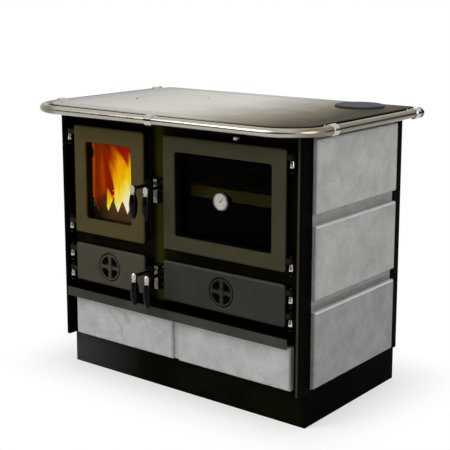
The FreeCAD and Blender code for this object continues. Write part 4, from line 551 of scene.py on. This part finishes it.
def round_door(name):
    """A copy of a cast door with the corners of its outline rounded off by tangent cuts."""
    mesh = bmesh.new()
    mesh.from_mesh(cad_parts[name].data)
    bmesh.ops.remove_doubles(mesh, verts=mesh.verts[:], dist=TOUCH)
    face = min(vert.co.y for vert in mesh.verts)
    flat = [vert.co for vert in mesh.verts if vert.co.y < face + TOUCH]
    across = [co.x for co in flat]
    up = [co.z for co in flat]
    for x, side in ((min(across) - DOOR_EDGE, -1), (max(across) + DOOR_EDGE, 1)):
        for z, rise in ((min(up) - DOOR_EDGE, -1), (max(up) + DOOR_EDGE, 1)):
            centre = Vector((x - side * DOOR_ROUND, 0.0, z - rise * DOOR_ROUND))
            for slant in DOOR_CUTS:
                turn = math.radians(slant)
                way = Vector((side * math.cos(turn), 0.0, rise * math.sin(turn)))
                corner = [item for item in mesh.faces if any(
                    max(abs(vert.co.x - x), abs(vert.co.z - z)) < DOOR_ROUND * 1.2 for vert in item.verts)]
                edges = dict.fromkeys(edge for item in corner for edge in item.edges)
                verts = dict.fromkeys(vert for item in corner for vert in item.verts)
                cut_off(mesh, [*verts, *edges, *corner], centre + way * DOOR_ROUND, way)
    bmesh.ops.recalc_face_normals(mesh, faces=mesh.faces[:])
    for item in mesh.faces:
        item.smooth = False
    return mesh


def text_mesh(words, size, place):
    """Flat text as a mesh, turned to face the front and moved to its place."""
    curve = bpy.data.curves.new("digits", "FONT")
    curve.body = words
    curve.size = size
    curve.align_x = "CENTER"
    curve.align_y = "CENTER"
    holder = bpy.data.objects.new("digits", curve)
    data = bpy.data.meshes.new_from_object(holder)
    data.transform(Matrix.Translation(place) @ Matrix.Rotation(math.pi / 2, 4, "X"))
    bpy.data.objects.remove(holder)
    bpy.data.curves.remove(curve)
    return data


class StoveFinish(bpy.types.PropertyGroup):
    """Colours and sizes of the stove's finishes and fire."""

    stone_dark: bpy.props.FloatVectorProperty(
        name="Stone shade", description="Darker clouds of the soapstone", subtype="COLOR", size=4,
        min=0, max=1, default=linear("83837e"))
    stone_light: bpy.props.FloatVectorProperty(
        name="Stone light", description="Lighter clouds of the soapstone", subtype="COLOR", size=4,
        min=0, max=1, default=linear("a9a9a2"))
    stone_vein: bpy.props.FloatVectorProperty(
        name="Stone vein", description="Thin veins in the soapstone", subtype="COLOR", size=4,
        min=0, max=1, default=linear("5d625f"))
    door_tone: bpy.props.FloatProperty(
        name="Doors", description="Brightness of the paint on the doors", default=1.0, min=0.1, max=4.0)
    fire_strength: bpy.props.FloatProperty(
        name="Fire", description="Brightness of the flames", default=1.0, min=0.0, soft_max=10.0)
    flame_count: bpy.props.IntProperty(
        name="Flames", description="Number of flames at the back of the grate", default=12, min=1, max=60)
    flame_height: bpy.props.FloatProperty(
        name="Flame height", description="Tallest flame above the grate", default=0.33, min=0.05, max=0.36,
        unit="LENGTH")
    tick_length: bpy.props.FloatProperty(
        name="Dial tick", description="Length of a main tick on the thermometer", default=4 * MM,
        min=1 * MM, max=8 * MM, unit="LENGTH")
    screw_radius: bpy.props.FloatProperty(
        name="Screw head", description="Radius of the screw heads", default=4 * MM, min=2 * MM, max=8 * MM,
        unit="LENGTH")


class STOVE_OT_carcass(bpy.types.Operator):
    """Paint the plinth, side frames, front plate, rear panel and inner sheets"""

    bl_idname = "stove.carcass"
    bl_label = "Carcass"

    def execute(self, context):
        black = stove_paint("stove_paint_black", "020202", "050505", 0.55, 0.01)
        dress(black, "left_side_frame", "bay_deck", "hinge_brackets", "drawer_box")
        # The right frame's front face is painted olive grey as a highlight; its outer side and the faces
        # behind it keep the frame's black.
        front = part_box("right_side_frame")[0][1]
        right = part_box("right_side_frame")[1][0]
        coat = stove_paint("stove_paint_painted_highlight", "2c2d22", "363729", 0.55, 0.01,
                           ("X", right - 5 * MM, right - 3.5 * MM, "030303"),
                           ("Y", front + 1 * MM, front + 4 * MM, "030303"))
        dress(coat, "right_side_frame")
        dress(stove_paint("panel_paint_black", "121211", "1c1c1a", 0.45, 0.1), "rear_panel")
        # A band of olive down the mullion, 77 mm left of the middle beside the oven door: painted light.
        mullion_painted_light = ("X", 24 * MM, 6 * MM, "302d0c", -77 * MM)
        dress(stove_paint("stove_paint_front", "100f06", "1a180b", 0.55, 0.012, mullion_painted_light), "front_plate")
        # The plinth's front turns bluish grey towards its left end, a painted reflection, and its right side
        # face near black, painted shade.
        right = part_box("plinth")[1][0]
        base = stove_paint("plinth_enamel", "080803", "100f07", 0.3, 0.004,
                           ("X", -0.16, -0.44, "34373a"), ("X", right - 5 * MM, right - 1 * MM, "010101"))
        dress(base, "plinth")
        dress(sheet_steel("rolled_sheet"), "ash_pan", "drawer_runners")
        dress(stove_paint("oven_enamel", "020202", "060504", 0.4), "oven_box", "soot_box")
        dress(stove_paint("tray_enamel", "5c5224", "70652e", 0.3), "baking_tray")
        return {"FINISHED"}


class STOVE_OT_stone(bpy.types.Operator):
    """Give each soapstone slab its own cut of stone"""

    bl_idname = "stove.stone"
    bl_label = "Soapstone"

    def execute(self, context):
        look = context.scene.stove_finish
        slabs = sorted(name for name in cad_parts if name.endswith("_stone"))
        for i, name in enumerate(slabs):
            shift = tuple(step * i for step in STONE_STEP)
            kind = next(kind for kind in STONE_KINDS if kind in name)
            tongue = None
            if kind != "drawer":
                tongue = max(abs(corner[0]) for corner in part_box(name)) - STONE_PROUD
            dress(soapstone(f"soapstone_{name}", look, shift, *STONE_KINDS[kind], tongue), name)
        return {"FINISHED"}


class STOVE_OT_doors(bpy.types.Operator):
    """Finish the cast doors, air wheels, glass, clips and seals"""

    bl_idname = "stove.doors"
    bl_label = "Doors"

    def execute(self, context):
        tone = context.scene.stove_finish.door_tone
        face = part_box("oven_door")[0][1]
        for name, paint, edge_highlight in DOORS:
            light = scaled(linear(paint), (tone, tone, tone))
            dark = scaled(light, (0.78, 0.78, 0.78))
            skin = casting(f"cast_iron_{name}_paint", dark, light, 0.6, face, soft=9 * MM, edge_highlight=edge_highlight)
            door = f"{name}_door"
            cast = piece(f"{door}_casting", round_door(door), door, skin)
            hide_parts(door)
        for name, paint in (("ash_air_wheel", "403f36"), ("lower_air_wheel", "2c2c26")):
            dress(air_wheel(f"cast_iron_{name}", paint, middle(name)), name)
        dress(door_glass("glass_ceramic_clear", 0.9), "firebox_glass")
        dress(door_glass("glass_ceramic_dark", 0.6), "oven_glass")
        dress(sheet_steel("clip_steel"), "firebox_glass_clips", "oven_glass_clips")
        dress(rope("glass_fibre_rope"), "firebox_seal", "oven_seal")
        return {"FINISHED"}


class STOVE_OT_latches(bpy.types.Operator):
    """Finish the levers, hand grips, keepers and hinge pins"""

    bl_idname = "stove.latches"
    bl_label = "Latches and hinges"

    def execute(self, context):
        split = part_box("firebox_lever")[0][1] + 20 * MM
        dress(latch_steel("latch_bar", split), *(f"{name}_lever" for name, _paint, _edge_highlight in DOORS))
        dress(bakelite("bakelite_black"), *(f"{name}_grip" for name, _paint, _edge_highlight in DOORS))
        dress(blued_steel("blued_keeper", "35322d", "8d877d", 0.22), "latch_keepers")
        levels = []
        for door in ("oven_door", "lower_door"):
            low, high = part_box(door)
            levels += [low[2] + PIN_HIGHLIGHT_LEVELS[0], high[2] - PIN_HIGHLIGHT_LEVELS[1]]
        dress(hinge_pin("turned_pin", levels), "hinge_pins")
        return {"FINISHED"}


class STOVE_OT_hob(bpy.types.Operator):
    """Finish the hob frame, cooking plate, lid, flue cap and damper"""

    bl_idname = "stove.hob"
    bl_label = "Hob"

    def execute(self, context):
        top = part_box("hob_frame")[1][2]
        dress(hob_steel("hob_frame_steel", HOB_FRAME_REFLECTION_TINTS, top), "hob_frame")
        dress(hob_steel("hob_plate_steel", HOB_PLATE_REFLECTION_TINTS, top), "cooking_plate", "hob_lid")
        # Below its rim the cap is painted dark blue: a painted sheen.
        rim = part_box("flue_cap")[1][2] - 2 * MM
        dress(stove_paint("flue_cap_enamel", "303136", "3a3b40", 0.5, 0.04,
                          ("Z", rim, rim - 3 * MM, "0f0f2c")), "flue_cap")
        dress(casting("flue_iron", "1a1a19", "2a2927", 0.7, grain=3.0), "flue_collar")
        dress(chrome_plate("satin_knob", "dedcd6", 0.6), "damper_knob")
        dress(blued_steel("blued_slide", "1a1917", "33302b"), "damper_slider")
        return {"FINISHED"}


class STOVE_OT_rail(bpy.types.Operator):
    """Finish the chrome rail, its knuckles and its end caps"""

    bl_idname = "stove.rail"
    bl_label = "Rail"

    def execute(self, context):
        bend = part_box("rail_tube")[1][0]
        # Both ends of the rail are painted darker and browner: a painted reflection.
        end_reflection = ("X", bend - 110 * MM, bend - 75 * MM, "7a7362", 50 * MM)
        dress(chrome_plate("chrome_rail", "aaa59b", 0.34, end_reflection), "rail_tube")
        dress(chrome_plate("chrome_knuckle", "b8b4ac", 0.14), "rail_knuckles", "rail_end_caps")
        return {"FINISHED"}


class STOVE_OT_fire(bpy.types.Operator):
    """Light the fire: lining, grate, burning logs and flames"""

    bl_idname = "stove.fire"
    bl_label = "Fire"

    def execute(self, context):
        look = context.scene.stove_finish
        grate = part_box("grate")[1][2]
        dress(firebox_wall("firebox_lining"), "boiler_jacket")
        dress(casting("raw_cast_iron", "2a2620", "443c30", 0.75, grain=3.0), "grate")
        dress(casting("scaled_cast_iron", "4a3a1e", "66522e", 0.75, grain=3.0), "log_guard")
        noise.seed_set(FIRE_SEED)
        logs = bmesh.new()
        for x, y, z, turn, radius, length in LOGS:
            self.log(logs, Vector((x * MM, y * MM, grate + z * MM)), turn, radius * MM, length * MM)
        char = charred_wood("charred_wood", look.fire_strength * 2.5)
        piece("firewood", logs, "carcass", char)
        dice = random.Random(FIRE_SEED)
        tongues = bmesh.new()
        tongues.verts.layers.float.new("depth")
        level = grate + FLAME_FOOT
        for x, y, tall, width, lean in FLAMES:
            foot = Vector((x * MM, y * MM, level))
            self.tongue(tongues, foot, tall * look.flame_height, width * MM, lean * MM, dice.uniform(0, 6))
        for _ in range(look.flame_count):
            foot = Vector((dice.uniform(-290, -130) * MM, dice.uniform(-120, 90) * MM, level))
            tall = look.flame_height * dice.uniform(0.25, 0.5)
            width = dice.uniform(20, 36) * MM
            lean = dice.uniform(-34, 18) * MM
            self.tongue(tongues, foot, tall, width, lean, dice.uniform(0, 6))
        for face in tongues.faces:
            face.smooth = True
        piece("flames", tongues, "carcass", flame("wood_flame", look.fire_strength, grate))
        return {"FINISHED"}

    @staticmethod
    def log(mesh, place, turn, radius, length):
        """A split log: part of a knotty cylinder, laid across the grate."""
        one = bmesh.new()
        bmesh.ops.create_cone(
            one, cap_ends=True, segments=18, radius1=radius, radius2=radius * 0.9, depth=length)
        along = [edge for edge in one.edges if abs(edge.verts[0].co.z - edge.verts[1].co.z) > length / 2]
        bmesh.ops.subdivide_edges(one, edges=along, cuts=12)
        cut_off(one, one.verts[:] + one.edges[:] + one.faces[:], (radius * 0.25, 0, 0), (1, 0.2, 0))
        bmesh.ops.triangulate(one, faces=[face for face in one.faces if len(face.verts) > 8])
        for vert in one.verts:
            vert.co += 5 * MM * noise.noise_vector(vert.co / (30 * MM) + place / (7 * MM))
        laid = Matrix.Translation(place) @ Matrix.Rotation(math.radians(turn), 4, "Z")
        one.transform(laid @ Matrix.Rotation(math.pi / 2, 4, "Y"))
        data = bpy.data.meshes.new("log")
        one.to_mesh(data)
        one.free()
        mesh.from_mesh(data)
        bpy.data.meshes.remove(data)

    @staticmethod
    def tongue(mesh, foot, tall, width, lean, phase):
        """A flame: a ball drawn up to a wavering point, with its depth kept for the edges to fade."""
        depth = mesh.verts.layers.float["depth"]
        for vert in bmesh.ops.create_icosphere(mesh, subdivisions=3, radius=1.0)["verts"]:
            rise = (vert.co.z + 1) / 2
            flat = vert.co.xy.normalized() if vert.co.xy.length > 0.001 else FLAME_FRONT
            vert[depth] = abs(flat.dot(FLAME_FRONT)) * (1 - rise ** 4)
            girth = width * (1 - rise) ** 0.45
            sway = lean * rise ** 2 + 0.35 * width * math.sin(5.5 * rise + phase) * rise
            vert.co = foot + Vector((vert.co.x * girth + sway, vert.co.y * girth * 0.7, rise * tall))


class STOVE_OT_thermometer(bpy.types.Operator):
    """Print the dial, fit its lens and finish the thermometer"""

    bl_idname = "stove.thermometer"
    bl_label = "Thermometer"

    def execute(self, context):
        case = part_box("thermometer_case")[0][1]
        dress(latch_steel("bezel_steel", case + 5 * MM, "5f5c57"), "thermometer_case")
        dress(dial_face("dial_enamel"), "thermometer_dial")
        ink = print_ink("dial_ink")
        low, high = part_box("thermometer_dial")
        hub = middle("thermometer_dial")
        hub.y = low[1]
        hand = piece("dial_hand", self.hand(hub), "needle", ink)
        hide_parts("thermometer_needle")
        rim = (high[0] - low[0]) / 2 - 1.5 * MM
        marks = self.marks(hub - Vector((0, 0.05 * MM, 0)), rim, context.scene.stove_finish.tick_length)
        piece("dial_print", marks, "oven_door", ink)
        lens = bmesh.new()
        spot = Matrix.Translation((hub.x, case + 1.1 * MM, hub.z)) @ Matrix.Rotation(math.pi / 2, 4, "X")
        bmesh.ops.create_cone(lens, cap_ends=True, segments=64, radius1=rim + 1.2 * MM,
                              radius2=rim + 1.0 * MM, depth=0.8 * MM, matrix=spot)
        piece("dial_lens", lens, "oven_door", clear_lens("lens_glass"))
        return {"FINISHED"}

    @staticmethod
    def marks(hub, rim, main_tick):
        """The dial's ring of ticks, the main ones with a number inside them."""
        mesh = bmesh.new()
        for i in range(DIAL_STEPS + 1):
            main = i % DIAL_GROUP == 0
            angle = math.radians(DIAL_SWEEP * (0.5 - i / DIAL_STEPS))
            out = Vector((-math.sin(angle), 0, math.cos(angle)))
            tall = main_tick if main else main_tick * 0.5
            spot = Matrix.Translation(hub + out * (rim - tall / 2)) @ Matrix.Rotation(-angle, 4, "Y")
            size = Matrix.Diagonal((0.5 * MM if main else 0.3 * MM, 0.04 * MM, tall, 1.0))
            bmesh.ops.create_cube(mesh, size=1.0, matrix=spot @ size)
            if main:
                place = hub + out * (rim - main_tick - 3.2 * MM)
                mesh.from_mesh(text_mesh(str(DIAL_HEAT * i), 4.2 * MM, place))
        return mesh

    @staticmethod
    def hand(hub):
        """The needle: a slim kite with its hub, pointing up and right over the dial."""
        mesh = bmesh.new()
        way = Vector((1.0, 0.0, 1.0)).normalized()
        side = Vector((1.0, 0.0, -1.0)).normalized()
        front = hub - Vector((0.0, 1.2 * MM, 0.0))
        kite = mesh.faces.new([
            mesh.verts.new(front + (way * along + side * wide) * MM)
            for along, wide in ((-8, 0), (1, 3), (18, 0), (1, -3))])
        made = bmesh.ops.extrude_face_region(mesh, geom=[kite])["geom"]
        back = [item for item in made if isinstance(item, bmesh.types.BMVert)]
        bmesh.ops.translate(mesh, verts=back, vec=(0.0, 0.5 * MM, 0.0))
        spot = Matrix.Translation(front + Vector((0.0, 0.4 * MM, 0.0))) @ Matrix.Rotation(math.pi / 2, 4, "X")
        bmesh.ops.create_cone(
            mesh, cap_ends=True, segments=24, radius1=3.6 * MM, radius2=3.6 * MM, depth=1.0 * MM, matrix=spot)
        bmesh.ops.recalc_face_normals(mesh, faces=mesh.faces[:])
        return mesh


class STOVE_OT_drawer(bpy.types.Operator):
    """Finish the wood drawer's grip strip"""

    bl_idname = "stove.drawer"
    bl_label = "Wood drawer"

    def execute(self, context):
        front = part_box("drawer_grip")[0][1]
        # Behind its front face the grip is painted black: painted shade on its top and sides.
        dress(stove_paint("grip_paint_grey", "33322e", "3e3d38", 0.36, 0.02,
                          ("Y", front + 2 * MM, front + 6 * MM, "030303")), "drawer_grip")
        return {"FINISHED"}


class STOVE_OT_fasteners(bpy.types.Operator):
    """Set the screws of the latch keepers and the rear panel"""

    bl_idname = "stove.fasteners"
    bl_label = "Fasteners"

    # Screws of a keeper: how far in from its sides and in front of its back, the lever's shaft below the
    # lever's top, and the screws above and below that shaft. Screws of the rear panel: how far in from its
    # edges, and the spaces along an edge.
    keeper_side = 6 * MM
    keeper_face = 4 * MM
    shaft_drop = 9 * MM
    shaft_screws = (12 * MM, -44 * MM)
    panel_edge = 14 * MM
    panel_spaces = 5

    def execute(self, context):
        radius = context.scene.stove_finish.screw_radius
        low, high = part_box("latch_keepers")
        heads = bmesh.new()
        for lever in ("firebox_lever", "ash_lever"):
            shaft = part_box(lever)[1][2] - self.shaft_drop
            for x in (low[0] + self.keeper_side, high[0] - self.keeper_side):
                for off in self.shaft_screws:
                    place = Vector((x, high[1] - self.keeper_face, shaft + off))
                    screw(heads, place, Vector((0, -1, 0)), radius)
        piece("keeper_screws", heads, "carcass", chrome_plate("chrome_screw"))
        low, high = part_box("rear_panel")
        left, right = low[0] + self.panel_edge, high[0] - self.panel_edge
        foot, head = low[2] + self.panel_edge, high[2] - self.panel_edge
        spots = []
        for i in range(self.panel_spaces + 1):
            share = i / self.panel_spaces
            spots += [(left + (right - left) * share, z) for z in (foot, head)]
            if 0 < i < self.panel_spaces:
                spots += [(x, foot + (head - foot) * share) for x in (left, right)]
        heads = bmesh.new()
        for x, z in spots:
            screw(heads, Vector((x, high[1], z)), Vector((0, 1, 0)), radius)
        piece("panel_screws", heads, "carcass", sheet_steel("zinc_screw"))
        return {"FINISHED"}


class STOVE_OT_stage(bpy.types.Operator):
    """Set the floor, the soft lights and the camera"""

    bl_idname = "stove.stage"
    bl_label = "Stage"

    def execute(self, context):
        scene = context.scene
        scene.view_settings.view_transform = "Standard"
        self.floor()
        self.world(scene)
        for name, place, target, size, power, tone in (
                ("key", (-1.6, -3.4, 3.0), (0.0, 0.0, 0.45), 2.6, 95.0, "fffaf2"),
                ("side", (3.6, -0.6, 1.9), (0.4, 0.0, 0.45), 2.2, 60.0, "f6f9ff"),
                ("top", (0.2, 0.4, 3.6), (0.0, 0.0, 0.8), 2.4, 40.0, "ffffff")):
            made = self.lamp(scene, name, "AREA", place, power, tone)
            made.data.shape = "DISK"
            made.data.size = size
            made.rotation_euler = (Vector(target) - Vector(place)).to_track_quat("-Z", "Y").to_euler()
            made.visible_glossy = name != "top"
        self.flag("front", (0.0, -5.0, 1.7), 0.0, (6.0, 1.65), ("0c0c0c", "161614"))
        self.flag("side", (3.1, 4.2, 1.0), -31.0, (2.6, 1.0), ("5a5442", "6b6450"))
        for name, place, power in (
                ("firelight", (-0.27, -0.06, 0.62), 2.5), ("emberlight", (-0.22, -0.222, 0.56), 0.3)):
            made = self.lamp(scene, name, "POINT", place, power, "ff9a4a")
            made.data.shadow_soft_size = 0.05
            made.visible_camera = False
            made.visible_glossy = False
        lens = bpy.data.cameras.new("camera")
        lens.lens = lens.sensor_width * CAMERA_FOCUS / PICTURE_WIDTH
        lens.shift_y = -0.1
        camera = bpy.data.objects.new("camera", lens)
        camera.location = CAMERA_PLACE
        camera.rotation_euler = (math.radians(90 - CAMERA_TILT), 0.0, math.radians(CAMERA_TURN))
        scene.collection.objects.link(camera)
        scene.camera = camera
        return {"FINISHED"}

    @staticmethod
    def lamp(scene, name, kind, place, power, tone):
        """A lamp of a kind at its place."""
        light = bpy.data.lights.new(name, kind)
        light.energy = power
        light.color = linear(tone)[:3]
        made = bpy.data.objects.new(name, light)
        made.location = place
        scene.collection.objects.link(made)
        return made

    @staticmethod
    def flag(name, place, turn, size, shades):
        # A velvet card that only reflections see: it gives the chrome its darker streaks.
        velvet = mottled(f"velvet_{name}", 30, 2.0, [(0.3, shades[0]), (0.7, shades[1])], Roughness=1.0,
                         Specular_IOR_Level=0.0)
        sheet = bmesh.new()
        stood = Matrix.Rotation(math.radians(turn), 4, "Z") @ Matrix.Rotation(math.pi / 2, 4, "X")
        spot = Matrix.Translation(place) @ stood @ Matrix.Diagonal((*size, 1.0, 1.0))
        bmesh.ops.create_grid(sheet, x_segments=2, y_segments=2, size=1.0, matrix=spot)
        card = shown(f"flag_{name}", sheet, velvet)
        card.visible_camera = False
        card.visible_diffuse = False
        card.visible_shadow = False

    @staticmethod
    def floor():
        # Seamless white paper: it takes the stove's shadow close by and is plain white farther off.
        made, tree, where = begin("paper_white")
        fibre = add(tree, "TexNoise", Vector=where, Scale=per_mm(4), Detail=2.0)
        tone = add(tree, "ValToRGB", Fac=fibre, stops=[(0.3, "f6f6f6"), (0.7, "fafafa")])
        paper = add(tree, "BsdfPrincipled", Base_Color=tone, IOR=1.4, Roughness=0.9, Specular_IOR_Level=0.2)
        low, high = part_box("plinth")
        about = add(tree, "Mapping", Vector=where, Location=-middle("plinth"), Scale=(1.0, 1.0, 0.0))
        aside = add(tree, "VectorMath", {0: about}, operation="ABSOLUTE")
        half = (Vector(high) - Vector(low)) / 2
        beyond = add(tree, "VectorMath", {0: aside, 1: half}, operation="SUBTRACT")
        outside = add(tree, "VectorMath", {0: beyond, 1: (0.0, 0.0, 0.0)}, operation="MAXIMUM")
        reach = add(tree, "VectorMath", {0: outside}, operation="LENGTH")
        blank = add(tree, "MapRange", Value=reach, interpolation_type="SMOOTHSTEP",
                    From_Max=SHADOW_REACH, To_Min=SHADOW_WHITE)
        white = add(tree, "Math", {0: blank, 1: seen(tree)}, operation="MULTIPLY")
        glow = add(tree, "Emission", Strength=1.0)
        both = add(tree, "MixShader", {0: white, 1: paper, 2: glow})
        add(tree, "OutputMaterial", Surface=both)
        sheet = bmesh.new()
        bmesh.ops.create_circle(sheet, cap_ends=True, segments=64, radius=60.0)
        shown("floor", sheet, made)

    @staticmethod
    def world(scene):
        """White to the camera, mirrors and glass, softer as light on the object."""
        sky = bpy.data.worlds.new("studio")
        sky.use_nodes = True
        tree = sky.node_tree
        tree.nodes.clear()
        strength = add(tree, "MapRange", Value=seen(tree), To_Min=0.45, To_Max=1.0)
        back = add(tree, "Background", Strength=strength, Color="ffffff")
        add(tree, "OutputWorld", Surface=back)
        scene.world = sky


OPERATORS = (
    STOVE_OT_carcass, STOVE_OT_stone, STOVE_OT_doors, STOVE_OT_latches, STOVE_OT_hob, STOVE_OT_rail,
    STOVE_OT_fire, STOVE_OT_thermometer, STOVE_OT_drawer, STOVE_OT_fasteners, STOVE_OT_stage,
)


class STOVE_PT_sidebar(bpy.types.Panel):
    """Lists the stove's finishes and operators"""

    bl_idname = "STOVE_PT_sidebar"
    bl_label = "Boiler stove"
    bl_space_type = "VIEW_3D"
    bl_region_type = "UI"
    bl_category = "Stove"

    def draw(self, context):
        look = context.scene.stove_finish
        for name in StoveFinish.__annotations__:
            self.layout.prop(look, name)
        for operator in OPERATORS:
            self.layout.operator(operator.bl_idname)


CLASSES = (StoveFinish, *OPERATORS, STOVE_PT_sidebar)


def register():
    for item in CLASSES:
        bpy.utils.register_class(item)
    bpy.types.Scene.stove_finish = bpy.props.PointerProperty(type=StoveFinish)


def unregister():
    del bpy.types.Scene.stove_finish
    for item in reversed(CLASSES):
        bpy.utils.unregister_class(item)


def main():
    register()
    for operator in OPERATORS:
        group, name = operator.bl_idname.split(".")
        getattr(getattr(bpy.ops, group), name)()
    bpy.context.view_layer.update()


if __name__ == "__main__":
    main()
